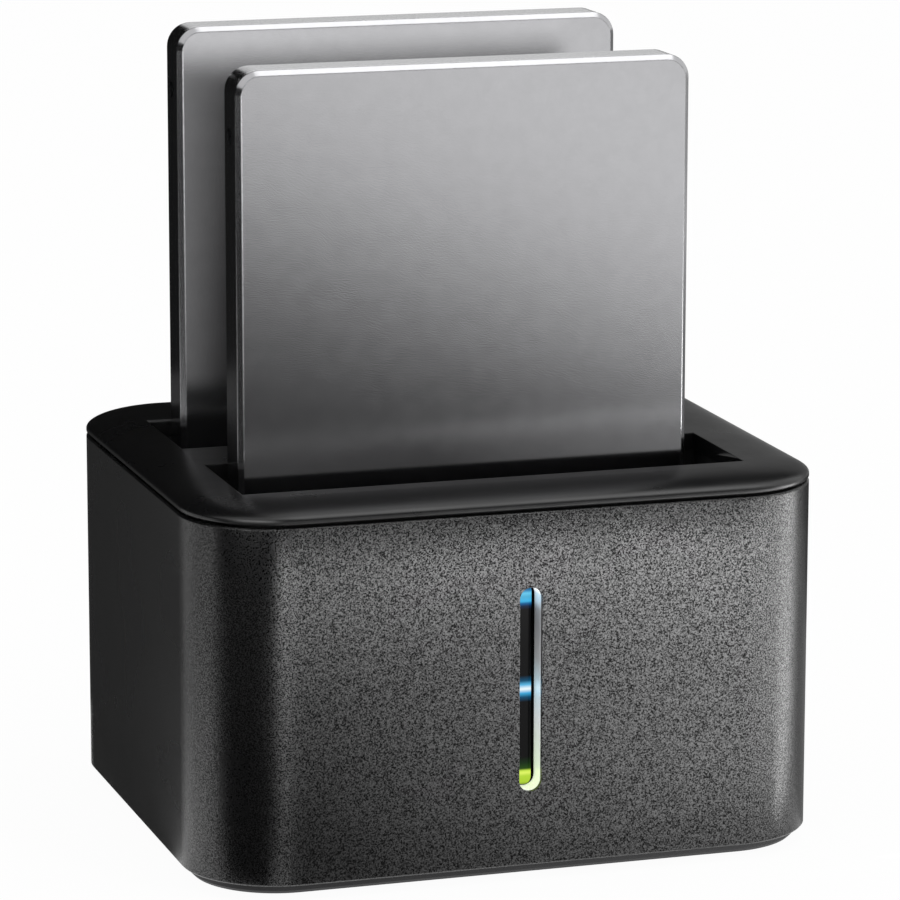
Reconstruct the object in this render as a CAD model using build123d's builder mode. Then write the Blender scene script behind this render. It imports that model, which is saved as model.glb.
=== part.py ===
from build123d import *
import os

# Docking station for two 2.5 inch drives, in millimetres.
# +X is to the right, +Y away from the front, +Z up. The origin is the centre
# of the footprint, on the surface that the rubber feet stand on.

os.makedirs("parts", exist_ok=True)

# Case
case_width = 96.6
case_depth = 83.8
corner_radius = 14.4
wall = 2.2
foot_proud = 0.8
base_band = 1.5
base_inset = 1.4
base_floor = 1.8
shell_bottom = foot_proud + base_band
shell_top = 55.35
seam_gap = 0.38
edge_chamfer = 0.25
cover_bottom = shell_top + seam_gap
cover_edge_top = 56.3
deck_height = 58.3
rim_width = 8.0
slip = 0.15
front_y = -case_depth / 2
back_y = case_depth / 2
inner_width = case_width - 2 * wall
inner_depth = case_depth - 2 * wall
inner_radius = corner_radius - wall

# Drives: the outline and hole places of the 2.5 inch form factor
drive_width = 69.85
drive_height = 100.45
drive_thick = 7.0
drive_corner = 3.6
drive_bevel = 0.75
drive_x = -1.5
drive_front_y = -17.4
drive_back_y = drive_front_y + drive_thick
drive_bottom = 17.15
bay_pitch = 33.4
rear_rise = 2.4
drive_hole_heights = (14.0, 90.6)
side_hole_from_base = 3.0
base_hole_x = 30.86
thread_radius = 1.25
side_hole_depth = 2.6
base_hole_depth = 2.4
plug_offset = -4.8
plug_from_base = 3.5

# Drive openings in the cover and the wells below them
slot_left = -39.7
slot_right = 37.5
slot_front_y = -31.0
slot_depth = 21.4
slot_width = slot_right - slot_left
slot_x = (slot_left + slot_right) / 2
well_relief = 0.3
well_wall = 1.6
well_floor = 1.6
drive_gap = 0.3
slot_centres_y = [slot_front_y + slot_depth / 2 + bay_pitch * i for i in range(2)]
well_floors = [drive_bottom - drive_gap + rear_rise * i for i in range(2)]
well_width = slot_width + 2 * well_relief
well_depth = slot_depth + 2 * well_relief

# Boards
board_thick = 1.6
board_bottom = 6.0
board_top = board_bottom + board_thick
board_width = 71.0
board_front_y = -33.0
board_back_y = 38.9
board_depth = board_back_y - board_front_y
board_y = (board_front_y + board_back_y) / 2
board_screws_at = [(i * 31.0, y) for i in (-1, 1) for y in (-29.0, 27.0)]

# Light strip in the front
light_x = 0.6
light_z = 28.84
light_length = 30.55
light_width = 3.3
bezel_rim = 0.25
bezel_set_back = 0.6
bezel_depth = 3.4
bezel_flange = 1.0
lens_width = 2.3
led_heights = {"lower": 14.9, "middle": 28.4, "upper": 41.9}

# Ports at the back
jack_x = -24.0
usb_x = 0.0
button_x = 24.0
button_z = 13.4
button_radius = 4.0
running_fit = 0.08

# Fasteners
case_screws_at = [(i * 39.5, j * 33.1) for i in (-1, 1) for j in (-1, 1)]
feet_at = [(i * 33.0, j * 26.6) for i in (-1, 1) for j in (-1, 1)]
cradle_screw_x = 24.0
cradle_screw_front_y = -36.0
cradle_screw_back_y = 29.6
cradle_screws_at = [
    (i * cradle_screw_x, y) for i in (-1, 1) for y in (cradle_screw_front_y, cradle_screw_back_y)
]


# Alignments of solids that grow up or down from their place
upwards = (Align.CENTER, Align.CENTER, Align.MIN)
downwards = (Align.CENTER, Align.CENTER, Align.MAX)


# Outer shell: a rounded tube that stands on the base plate.
boss_radius = 2.8
boss_top = 14.0
boss_bottom = 4.4
pilot_radius = 1.0
pilot_roof = 1.5
rib_length = 5.1
rib_width = 1.8
rib_shift = 1.8
rail_gap = 14.0
rail_bottom = 8.0
rail_height = 39.0
rail_thick = 2.0
rail_reach = 6.6
rail_groove = 0.8
rail_foot = 1.0
led_board_thick = 1.0
led_board_y = -35.2
pocket_length = 10.6
pocket_height = 1.6
pocket_depth = 0.7
hook_z = 52.6
back_hook_x = 26.0
port_centre_z = board_top + 5.5
port_corner = 0.6
usb_opening = (12.7, 11.6)
jack_opening = (9.6, 11.6)
opening_slack = 0.1

with BuildPart() as outer_shell:
    with BuildSketch(Plane.XY.offset(shell_bottom)):
        RectangleRounded(case_width, case_depth, corner_radius)
        RectangleRounded(inner_width, inner_depth, inner_radius, mode=Mode.SUBTRACT)
    extrude(amount=shell_top - shell_bottom)
    top_rim = outer_shell.faces().sort_by(Axis.Z)[-1].outer_wire().edges()
    bottom_rim = outer_shell.faces().sort_by(Axis.Z)[0].outer_wire().edges()
    chamfer(top_rim + bottom_rim, edge_chamfer)
    # Screw bosses in the corners, each tied to the wall by a rib
    with BuildSketch(Plane.XY.offset(boss_bottom)):
        with Locations(*case_screws_at):
            Circle(boss_radius)
        for x, y in case_screws_at:
            lean = 45 if x * y > 0 else -45
            outwards = (x + rib_shift * (1 if x > 0 else -1), y + rib_shift * (1 if y > 0 else -1))
            with Locations(outwards):
                Rectangle(rib_length, rib_width, rotation=lean)
    extrude(amount=boss_top - boss_bottom)
    with Locations(*[(x, y, boss_bottom) for x, y in case_screws_at]):
        Cylinder(
            pilot_radius,
            boss_top - boss_bottom - pilot_roof,
            align=upwards,
            mode=Mode.SUBTRACT,
        )
    # Rails that hold the light board behind the front wall
    rail_shift = (rail_gap + rail_thick) / 2 - rail_groove
    with Locations(*[
        (light_x + side * rail_shift, front_y + wall, rail_bottom) for side in (-1, 1)
    ]):
        Box(rail_thick, rail_reach, rail_height, align=(Align.CENTER, Align.MIN, Align.MIN))
    with Locations((light_x, led_board_y - slip / 2, rail_bottom + rail_foot)):
        Box(
            rail_gap + slip,
            led_board_thick + slip,
            rail_height,
            align=(Align.CENTER, Align.MIN, Align.MIN),
            mode=Mode.SUBTRACT,
        )
    # Opening for the light strip, wider behind its lip, where the bezel sits
    with BuildSketch(Plane.XZ.offset(case_depth / 2)):
        with Locations((light_x, light_z)):
            SlotOverall(light_length + opening_slack, light_width + opening_slack, rotation=90)
    extrude(amount=-wall, mode=Mode.SUBTRACT)
    with BuildSketch(Plane.XZ.offset(case_depth / 2 - bezel_set_back)):
        with Locations((light_x, light_z)):
            SlotOverall(
                light_length + 2 * bezel_rim + opening_slack,
                light_width + 2 * bezel_rim + opening_slack,
                rotation=90,
            )
    extrude(amount=bezel_set_back - wall, mode=Mode.SUBTRACT)
    # Openings at the back: data port, power inlet and power button
    with BuildSketch(Plane.XZ.offset(-case_depth / 2)):
        with Locations((usb_x, port_centre_z)):
            RectangleRounded(*usb_opening, port_corner)
        with Locations((jack_x, port_centre_z)):
            RectangleRounded(*jack_opening, port_corner)
        with Locations((button_x, button_z)):
            Circle(button_radius + running_fit)
    extrude(amount=wall, mode=Mode.SUBTRACT)
    # Pockets near the top for the hooks of the cover
    for side in (-1, 1):
        with Locations((side * inner_width / 2, 0, hook_z)):
            Box(2 * pocket_depth, pocket_length, pocket_height, mode=Mode.SUBTRACT)
        with Locations((side * back_hook_x, inner_depth / 2, hook_z)):
            Box(pocket_length, 2 * pocket_depth, pocket_height, mode=Mode.SUBTRACT)

outer_shell.part.label = "outer_shell"
export_step(outer_shell.part, "parts/outer_shell.step")


# Base plate: a shallow tray that closes the shell from below.
base_width = case_width - 2 * base_inset
base_depth = case_depth - 2 * base_inset
base_radius = corner_radius - base_inset
base_top = foot_proud + base_floor
base_chamfer = 0.5
ring_width = inner_width - 2 * slip
ring_depth = inner_depth - 2 * slip
ring_radius = inner_radius - slip
ring_top = 4.3
ring_thick = 1.4
foot_radius = 5.4
foot_recess = 0.5
foot_slack = 0.1
foot_round = 0.3
screw_hole_radius = 1.35
screw_head_radius = 2.2
screw_head_slack = 0.2
screw_head_seat = 1.0
standoff_radius = 2.6
standoff_hole_radius = 0.9
standoff_hole_depth = 3.6
vent_length = 22.0
vent_width = 1.6
vent_pitch = 4.2
vent_columns = 9

with BuildPart() as base_plate:
    with BuildSketch(Plane.XY.offset(foot_proud)):
        RectangleRounded(base_width, base_depth, base_radius)
    extrude(amount=base_floor)
    chamfer(base_plate.faces().sort_by(Axis.Z)[0].outer_wire().edges(), base_chamfer)
    # The part of the floor above the shell's bottom edge stands inside the shell
    with BuildSketch(Plane.XY.offset(shell_bottom)):
        RectangleRounded(case_width, case_depth, corner_radius)
        RectangleRounded(ring_width, ring_depth, ring_radius, mode=Mode.SUBTRACT)
    extrude(amount=base_floor, mode=Mode.SUBTRACT)
    with BuildSketch(Plane.XY.offset(shell_bottom)):
        RectangleRounded(ring_width, ring_depth, ring_radius)
        RectangleRounded(
            ring_width - 2 * ring_thick,
            ring_depth - 2 * ring_thick,
            ring_radius - ring_thick,
            mode=Mode.SUBTRACT,
        )
    extrude(amount=ring_top - shell_bottom)
    # Standoffs under the main board, with holes for its screws
    with Locations(*[(x, y, base_top) for x, y in board_screws_at]):
        Cylinder(standoff_radius, board_bottom - base_top, align=upwards)
    with Locations(*[(x, y, board_bottom) for x, y in board_screws_at]):
        Cylinder(standoff_hole_radius, standoff_hole_depth, align=downwards, mode=Mode.SUBTRACT)
    with Locations(*[(x, y, base_top) for x, y in case_screws_at]):
        Cylinder(boss_radius, ring_top - base_top, align=upwards)
    # Seats for the case screws, with the heads sunk into the underside
    with Locations(*[(x, y, foot_proud) for x, y in case_screws_at]):
        Cylinder(screw_hole_radius, ring_top, align=upwards, mode=Mode.SUBTRACT)
        Cylinder(
            screw_head_radius + screw_head_slack,
            screw_head_seat,
            align=upwards,
            mode=Mode.SUBTRACT,
        )
    # Round recesses that the rubber feet are glued into
    with Locations(*[(x, y, foot_proud) for x, y in feet_at]):
        Cylinder(foot_radius, foot_recess, align=upwards, mode=Mode.SUBTRACT)
    # Air slots
    with BuildSketch(Plane.XY.offset(foot_proud)):
        with GridLocations(vent_pitch, 0, vent_columns, 1):
            SlotOverall(vent_length, vent_width, rotation=90)
    extrude(amount=base_floor, mode=Mode.SUBTRACT)

base_plate.part.label = "base_plate"
export_step(base_plate.part, "parts/base_plate.step")


# Rubber feet: four round pads in the recesses of the base plate.
with BuildPart() as rubber_feet:
    with Locations(*[(x, y, 0) for x, y in feet_at]):
        Cylinder(foot_radius - foot_slack, foot_proud + foot_recess, align=upwards)
    fillet(rubber_feet.faces().filter_by(Axis.Z).group_by(Axis.Z)[0].edges(), foot_round)

rubber_feet.part.label = "rubber_feet"
export_step(rubber_feet.part, "parts/rubber_feet.step")


# Top cover: a crowned deck with two drive openings, and a skirt inside the shell.
skirt_thick = 1.4
skirt_depth = 5.2
skirt_outset = (inner_width / 2 - slip, inner_depth / 2 - slip)
slot_chamfer = 0.3
cover_boss_radius = 2.6
cover_boss_bottom = 51.5
cover_pilot_depth = 4.6
hook_length = 10.0
hook_reach = 0.55
hook_height = 1.2
hook_root = 0.3

with BuildSketch(Plane.XY.offset(cover_bottom)) as cover_outline:
    RectangleRounded(case_width, case_depth, corner_radius)
rim_path = cover_outline.sketch.face().outer_wire()
rim_plane = Plane(
    origin=rim_path @ 0,
    x_dir=Vector(0, 0, 1).cross(rim_path % 0),
    z_dir=rim_path % 0,
)
edge_height = cover_edge_top - cover_bottom
crown_rise = deck_height - cover_edge_top

with BuildPart() as top_cover:
    # The rim's section is an upright edge and a quarter of a flat ellipse
    with BuildSketch(rim_plane):
        with BuildLine():
            Line((edge_chamfer, 0), (0, edge_chamfer))
            Line((0, edge_chamfer), (0, edge_height))
            EllipticalCenterArc((rim_width, edge_height), rim_width, crown_rise, start_angle=90)
            Polyline((rim_width, edge_height + crown_rise), (rim_width, 0), (edge_chamfer, 0))
        make_face()
    sweep(path=rim_path)
    with BuildSketch(Plane.XY.offset(cover_bottom)):
        RectangleRounded(
            case_width - 2 * rim_width, case_depth - 2 * rim_width, corner_radius - rim_width
        )
    extrude(amount=deck_height - cover_bottom)
    with BuildSketch(Plane.XY.offset(cover_bottom - skirt_depth)):
        RectangleRounded(2 * skirt_outset[0], 2 * skirt_outset[1], inner_radius - slip)
        RectangleRounded(
            2 * (skirt_outset[0] - skirt_thick),
            2 * (skirt_outset[1] - skirt_thick),
            inner_radius - slip - skirt_thick,
            mode=Mode.SUBTRACT,
        )
    extrude(amount=skirt_depth)
    # Hooks at the sides and the back, which snap into the shell's pockets
    hook_seats = [
        Plane(origin=(side * skirt_outset[0], 0, hook_z), x_dir=(side, 0, 0), z_dir=(0, 1, 0))
        for side in (-1, 1)
    ] + [
        Plane(
            origin=(side * back_hook_x, skirt_outset[1], hook_z), x_dir=(0, 1, 0), z_dir=(1, 0, 0)
        )
        for side in (-1, 1)
    ]
    for seat in hook_seats:
        up = 1 if seat.y_dir.Z > 0 else -1
        with BuildSketch(seat):
            with BuildLine():
                Polyline(
                    (-hook_root, up * hook_height / 2),
                    (hook_reach, up * hook_height / 2),
                    (hook_reach, up * hook_height / 6),
                    (0, -up * hook_height / 2),
                    (-hook_root, -up * hook_height / 2),
                    close=True,
                )
            make_face()
        extrude(amount=hook_length / 2, both=True)
    # Bosses for the screws that hold the bay cradle
    with Locations(*[(x, y, cover_boss_bottom) for x, y in cradle_screws_at]):
        Cylinder(cover_boss_radius, cover_bottom - cover_boss_bottom, align=upwards)
    with Locations(*[(x, y, cover_boss_bottom) for x, y in cradle_screws_at]):
        Cylinder(pilot_radius, cover_pilot_depth, align=upwards, mode=Mode.SUBTRACT)
    # The two drive openings
    with BuildSketch(Plane.XY.offset(deck_height)):
        with Locations(*[(slot_x, y) for y in slot_centres_y]):
            Rectangle(slot_width, slot_depth)
    extrude(amount=cover_bottom - deck_height, mode=Mode.SUBTRACT)
    deck = top_cover.faces().filter_by(Axis.Z).sort_by(Axis.Z)[-1]
    chamfer(deck.inner_wires().edges(), slot_chamfer)

top_cover.part.label = "top_cover"
export_step(top_cover.part, "parts/top_cover.step")


# Drive sockets: sizes shared by the cradle, the sockets and the drives
socket_x = drive_x + plug_offset
socket_ys = [drive_back_y - plug_from_base + bay_pitch * i for i in range(2)]
socket_bottoms = [board_top + rear_rise * i for i in range(2)]
drive_bottoms = [drive_bottom + rear_rise * i for i in range(2)]
nose_width = 38.6
nose_thick = 4.2
nose_height = 4.5
socket_width = 43.0
socket_thick = 6.4
socket_shoulder = 2.0
nose_clearance = 0.5
tongue_thick = 1.2
tongue_slot = 1.8
tongue_length = 4.8
tongue_tip = 0.4
contact_pitch = 1.27
contact_width = 0.7
tongues = [(-6.4, 20.6, 15), (11.5, 10.4, 7)]


# Bay cradle: two wells under the openings, each with a floor and guides for its drive.
guide_top = 46.0
guide_depth = 7.7
side_gap = 0.35
back_rib_xs = (-22.0, 19.0)
back_rib_width = 2.0
back_rib_reach = slot_front_y + slot_depth + well_relief - drive_back_y - drive_gap
web_xs = (-33.0, -1.5, 30.0)
web_thick = 1.6
tab_width = 8.0
tab_thick = 1.5
tab_end_gap = 0.25
tab_hole_radius = 1.3

with BuildPart() as bay_cradle:
    for centre_y, floor in zip(slot_centres_y, well_floors):
        with BuildSketch(Plane.XY.offset(floor - well_floor)):
            with Locations((slot_x, centre_y)):
                Rectangle(well_width + 2 * well_wall, well_depth + 2 * well_wall)
        extrude(amount=cover_bottom - floor + well_floor)
    # Webs between the wells
    web_gap = bay_pitch - well_depth - 2 * well_wall
    web_y = (slot_centres_y[0] + slot_centres_y[1]) / 2
    with Locations(*[(x, web_y, well_floors[1]) for x in web_xs]):
        Box(web_thick, web_gap, guide_top - well_floors[1], align=upwards)
    # Tabs for the screws into the cover
    tab_front = front_y + wall + slip + skirt_thick + tab_end_gap
    tab_back = cradle_screw_back_y + tab_width / 2
    well_front = slot_centres_y[0] - well_depth / 2 - well_wall
    well_back = slot_centres_y[1] + well_depth / 2 + well_wall
    for side in (-1, 1):
        for near, far in ((tab_front, well_front), (well_back, tab_back)):
            with Locations((side * cradle_screw_x, (near + far) / 2, cover_boss_bottom)):
                Box(tab_width, far - near, tab_thick, align=downwards)
    with Locations(*[(x, y, cover_boss_bottom) for x, y in cradle_screws_at]):
        Cylinder(tab_hole_radius, tab_thick, align=downwards, mode=Mode.SUBTRACT)
    # Hollow of each well, and the opening for its socket
    for centre_y, floor, socket_y in zip(slot_centres_y, well_floors, socket_ys):
        with BuildSketch(Plane.XY.offset(floor)):
            with Locations((slot_x, centre_y)):
                Rectangle(well_width, well_depth)
        extrude(amount=cover_bottom - floor, mode=Mode.SUBTRACT)
        with BuildSketch(Plane.XY.offset(floor - well_floor)):
            with Locations((socket_x, socket_y)):
                Rectangle(nose_width + 2 * nose_clearance, nose_thick + 2 * nose_clearance)
        extrude(amount=well_floor, mode=Mode.SUBTRACT)
    # Guides beside and behind each drive
    left_wall = slot_x - well_width / 2
    right_wall = slot_x + well_width / 2
    drive_left = drive_x - drive_width / 2 - side_gap
    drive_right = drive_x + drive_width / 2 + side_gap
    for centre_y, floor in zip(slot_centres_y, well_floors):
        back_wall = centre_y + well_depth / 2
        guide_height = guide_top - floor
        for near, far in ((left_wall, drive_left), (drive_right, right_wall)):
            with Locations(((near + far) / 2, back_wall - guide_depth / 2, floor)):
                Box(far - near, guide_depth, guide_height, align=upwards)
        with Locations(*[(x, back_wall - back_rib_reach / 2, floor) for x in back_rib_xs]):
            Box(back_rib_width, back_rib_reach, guide_height, align=upwards)

bay_cradle.part.label = "bay_cradle"
export_step(bay_cradle.part, "parts/bay_cradle.step")


# Screws: each has a pan head with a cross recess, and a plain round shank.
cross_width = 0.5
cross_depth = 0.7
cross_share = 1.3
thread_slack = 0.05


def make_screws(seats, head_radius, head_height, shank_radius, shank_length):
    """Screws whose shanks point along +Z of each seat, and whose heads end there."""
    with BuildPart() as screws:
        with Locations(*seats):
            Cylinder(shank_radius, shank_length, align=upwards)
            Cylinder(head_radius, head_height, align=downwards)
        recesses = [seat * Location((0, 0, -head_height)) for seat in seats]
        with Locations(*recesses):
            Box(
                cross_share * head_radius,
                cross_width,
                cross_depth,
                align=upwards,
                mode=Mode.SUBTRACT,
            )
            Box(
                cross_width,
                cross_share * head_radius,
                cross_depth,
                align=upwards,
                mode=Mode.SUBTRACT,
            )
    return screws


case_screws = make_screws(
    [Location((x, y, foot_proud + screw_head_seat)) for x, y in case_screws_at],
    head_radius=screw_head_radius,
    head_height=0.9,
    shank_radius=pilot_radius - thread_slack,
    shank_length=9.8,
)
case_screws.part.label = "case_screws"
export_step(case_screws.part, "parts/case_screws.step")

cradle_screws = make_screws(
    [Location((x, y, cover_boss_bottom - tab_thick)) for x, y in cradle_screws_at],
    head_radius=2.0,
    head_height=1.3,
    shank_radius=pilot_radius - thread_slack,
    shank_length=tab_thick + cover_pilot_depth - 0.4,
)
cradle_screws.part.label = "cradle_screws"
export_step(cradle_screws.part, "parts/cradle_screws.step")

board_screws = make_screws(
    [Location((x, y, board_top), (180, 0, 0)) for x, y in board_screws_at],
    head_radius=2.1,
    head_height=1.4,
    shank_radius=standoff_hole_radius - thread_slack,
    shank_length=board_thick + 3.0,
)
board_screws.part.label = "board_screws"
export_step(board_screws.part, "parts/board_screws.step")


# Main board: one rectangle with holes for its screws and for the socket pegs.
board_corner = 1.2
board_hole_radius = 1.3
peg_radius = 0.9
peg_x = 20.0
peg_slack = 0.1

with BuildPart() as main_board:
    with BuildSketch(Plane.XY.offset(board_bottom)):
        with Locations((0, board_y)):
            RectangleRounded(board_width, board_depth, board_corner)
        with Locations(*board_screws_at):
            Circle(board_hole_radius, mode=Mode.SUBTRACT)
        with Locations(*[(socket_x + i * peg_x, y) for i in (-1, 1) for y in socket_ys]):
            Circle(peg_radius + peg_slack, mode=Mode.SUBTRACT)
    extrude(amount=board_thick)

main_board.part.label = "main_board"
export_step(main_board.part, "parts/main_board.step")


# Drive sockets: a shoulder under the cradle's floor, and a nose that enters the drive.
socket_corner = 0.6
nose_corner = 0.5
nose_chamfer = 0.4
channel_depth = 0.35
channel_roof = 0.8
contact_proud = 0.1
contact_slack = 0.1


def contact_places(socket_y, level, row_y):
    """Places of all contacts of one connector, in a row along X."""
    return [
        (socket_x + centre + contact_pitch * (n - (count - 1) / 2), socket_y + row_y, level)
        for centre, _, count in tongues
        for n in range(count)
    ]


def make_socket(socket_y, seat, drive_end):
    """One upright drive socket that stands on the board or on its riser."""
    shoulder_top = drive_end - socket_shoulder
    nose_top = drive_end + nose_height
    with BuildPart() as socket:
        with BuildSketch(Plane.XY.offset(seat)):
            with Locations((socket_x, socket_y)):
                RectangleRounded(socket_width, socket_thick, socket_corner)
        extrude(amount=shoulder_top - seat)
        with BuildSketch(Plane.XY.offset(shoulder_top)):
            with Locations((socket_x, socket_y)):
                RectangleRounded(nose_width, nose_thick, nose_corner)
        extrude(amount=nose_top - shoulder_top)
        chamfer(socket.faces().sort_by(Axis.Z)[-1].outer_wire().edges(), nose_chamfer)
        with Locations(*[(socket_x + i * peg_x, socket_y, seat) for i in (-1, 1)]):
            Cylinder(peg_radius, seat - board_bottom, align=downwards)
        for centre, width, _ in tongues:
            with Locations((socket_x + centre, socket_y, nose_top)):
                Box(
                    width + 2 * drive_gap,
                    tongue_slot,
                    nose_height,
                    align=downwards,
                    mode=Mode.SUBTRACT,
                )
        channel_y = tongue_slot / 2 + channel_depth / 2
        with Locations(*contact_places(socket_y, seat, channel_y)):
            Box(
                contact_width,
                channel_depth,
                nose_top - channel_roof - seat,
                align=upwards,
                mode=Mode.SUBTRACT,
            )
    return socket


front_socket = make_socket(socket_ys[0], socket_bottoms[0], drive_bottoms[0])
front_socket.part.label = "front_socket"
export_step(front_socket.part, "parts/front_socket.step")

rear_socket = make_socket(socket_ys[1], socket_bottoms[1], drive_bottoms[1])
rear_socket.part.label = "rear_socket"
export_step(rear_socket.part, "parts/rear_socket.step")


def make_socket_contacts(socket_y, seat, drive_end):
    """Contact blades that stand in the channels of one socket."""
    back = tongue_slot / 2 + channel_depth - contact_slack / 2
    stem_depth = channel_depth - contact_slack
    blade_depth = stem_depth + contact_proud + contact_slack / 2
    blade_width = contact_width - contact_slack
    blade_foot = drive_end + contact_slack
    blade_length = nose_height - channel_roof - 3 * contact_slack
    with BuildPart() as contacts:
        with Locations(*contact_places(socket_y, seat, back - stem_depth / 2)):
            Box(blade_width, stem_depth, blade_foot - seat + contact_slack, align=upwards)
        with Locations(*contact_places(socket_y, blade_foot, back - blade_depth / 2)):
            Box(blade_width, blade_depth, blade_length, align=upwards)
    return contacts


front_socket_contacts = make_socket_contacts(socket_ys[0], socket_bottoms[0], drive_bottoms[0])
front_socket_contacts.part.label = "front_socket_contacts"
export_step(front_socket_contacts.part, "parts/front_socket_contacts.step")

rear_socket_contacts = make_socket_contacts(socket_ys[1], socket_bottoms[1], drive_bottoms[1])
rear_socket_contacts.part.label = "rear_socket_contacts"
export_step(rear_socket_contacts.part, "parts/rear_socket_contacts.step")


# Riser: a moulded spacer that lifts the rear socket off the board.
with BuildPart() as socket_riser:
    with BuildSketch(Plane.XY.offset(board_top)):
        with Locations((socket_x, socket_ys[1])):
            RectangleRounded(socket_width, socket_thick, socket_corner)
        with Locations(*[(socket_x + i * peg_x, socket_ys[1]) for i in (-1, 1)]):
            Circle(peg_radius + peg_slack, mode=Mode.SUBTRACT)
    extrude(amount=rear_rise)

socket_riser.part.label = "socket_riser"
export_step(socket_riser.part, "parts/socket_riser.step")


# Parts soldered to the main board
chip_seat = board_top + 0.1
chip_size = 9.0
chip_height = 1.2
chip_corner = 0.5
chip_at = (-8.0, 2.8)
pin_mark_shift = 3.2
pin_mark_radius = 0.5
pin_mark_depth = 0.15
memory_size = (5.0, 4.0)
memory_height = 1.5
memory_chamfer = 0.25
memory_at = (8.0, 2.8)
regulator_size = (6.5, 3.6)
regulator_height = 1.6
regulator_chamfer = 0.3
regulators_at = [(24.0, 14.0), (-20.0, 10.5), (13.6, 32.0)]
lead_width = 0.35
lead_reach = 0.9
lead_height = 0.5
chip_leads_per_side = 12
chip_lead_pitch = 0.65
memory_leads_per_side = 4
memory_lead_pitch = 1.27
regulator_leads_per_side = 3
regulator_lead_pitch = 2.3

with BuildPart() as bridge_chip:
    with Locations((*chip_at, chip_seat)):
        Box(chip_size, chip_size, chip_height, align=upwards)
    chamfer(bridge_chip.edges().filter_by(Axis.Z), chip_corner)
    # Round mark beside the first pin
    pin_mark_at = (chip_at[0] - pin_mark_shift, chip_at[1] + pin_mark_shift, chip_seat + chip_height)
    with Locations(pin_mark_at):
        Cylinder(pin_mark_radius, pin_mark_depth, align=downwards, mode=Mode.SUBTRACT)

bridge_chip.part.label = "bridge_chip"
export_step(bridge_chip.part, "parts/bridge_chip.step")

with BuildPart() as memory_chip:
    with Locations((*memory_at, chip_seat)):
        Box(*memory_size, memory_height, align=upwards)
    chamfer(memory_chip.faces().sort_by(Axis.Z)[-1].edges(), memory_chamfer)

memory_chip.part.label = "memory_chip"
export_step(memory_chip.part, "parts/memory_chip.step")

with BuildPart() as regulators:
    with Locations(*[(x, y, chip_seat) for x, y in regulators_at]):
        Box(*regulator_size, regulator_height, align=upwards)
    chamfer(regulators.faces().group_by(Axis.Z)[-1].edges(), regulator_chamfer)

regulators.part.label = "regulators"
export_step(regulators.part, "parts/regulators.step")


def lead_rows(place, span, count, pitch, along_x=True):
    """Places of two rows of leads, one on each side of a chip."""
    rows = []
    for side in (-1, 1):
        for n in range(count):
            along = pitch * (n - (count - 1) / 2)
            across = side * (span + lead_reach) / 2
            step = (along, across) if along_x else (across, along)
            rows.append((place[0] + step[0], place[1] + step[1], board_top))
    return rows


with BuildPart() as chip_leads:
    chip_row = (chip_at, chip_size, chip_leads_per_side, chip_lead_pitch)
    rows_along_x = lead_rows(*chip_row)
    rows_along_x += lead_rows(
        memory_at, memory_size[1], memory_leads_per_side, memory_lead_pitch
    )
    for place in regulators_at:
        rows_along_x += lead_rows(
            place, regulator_size[1], regulator_leads_per_side, regulator_lead_pitch
        )
    with Locations(*rows_along_x):
        Box(lead_width, lead_reach, lead_height, align=upwards)
    with Locations(*lead_rows(*chip_row, along_x=False)):
        Box(lead_reach, lead_width, lead_height, align=upwards)

chip_leads.part.label = "chip_leads"
export_step(chip_leads.part, "parts/chip_leads.step")

capacitor_radius = 2.5
capacitor_height = 6.4
capacitor_round = 0.4
capacitor_foot = 5.4
capacitor_foot_height = 0.8
capacitors_at = [(-31.4, y) for y in (-10.0, -2.0, 6.0)]

with BuildPart() as capacitors:
    with Locations(*[(x, y, board_top) for x, y in capacitors_at]):
        Box(capacitor_foot, capacitor_foot, capacitor_foot_height, align=upwards)
        Cylinder(capacitor_radius, capacitor_height, align=upwards)
    fillet(capacitors.faces().group_by(Axis.Z)[-1].edges(), capacitor_round)

capacitors.part.label = "capacitors"
export_step(capacitors.part, "parts/capacitors.step")

inductor_size = 7.0
inductor_corner = 1.6
inductor_height = 3.6
inductor_chamfer = 0.4
inductors_at = [(26.0, -8.0), (26.0, 3.0)]

with BuildPart() as inductors:
    with BuildSketch(Plane.XY.offset(board_top)):
        with Locations(*inductors_at):
            RectangleRounded(inductor_size, inductor_size, inductor_corner)
    extrude(amount=inductor_height)
    chamfer(inductors.faces().group_by(Axis.Z)[-1].edges(), inductor_chamfer)

inductors.part.label = "inductors"
export_step(inductors.part, "parts/inductors.step")

crystal_length = 10.6
crystal_width = 4.4
crystal_height = 3.4
crystal_round = 0.5
crystal_at = (-20.0, 2.8)

with BuildPart() as crystal_can:
    with BuildSketch(Plane.XY.offset(board_top)):
        with Locations(crystal_at):
            SlotOverall(crystal_length, crystal_width)
    extrude(amount=crystal_height)
    fillet(crystal_can.faces().sort_by(Axis.Z)[-1].edges(), crystal_round)

crystal_can.part.label = "crystal_can"
export_step(crystal_can.part, "parts/crystal_can.step")


# Light board: it stands in the rails behind the front wall, with three lights.
led_board_bottom = rail_bottom + rail_foot + 0.1
led_board_height = 36.8
led_size = (1.8, 0.75, 2.2)
led_chamfer = 0.2
header_pins = 6
header_pitch = 2.0
header_depth = 2.5
header_height = 4.0
header_front_y = board_front_y + 0.4
header_pin_z = led_board_bottom + 1.2
header_pin_xs = [light_x + header_pitch * (n - (header_pins - 1) / 2) for n in range(header_pins)]
pin_width = 0.5
pin_hole_slack = 0.1
pin_front_y = led_board_y - 0.4
pin_back_y = header_front_y + header_depth - 0.1
pin_length = pin_back_y - pin_front_y

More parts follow.
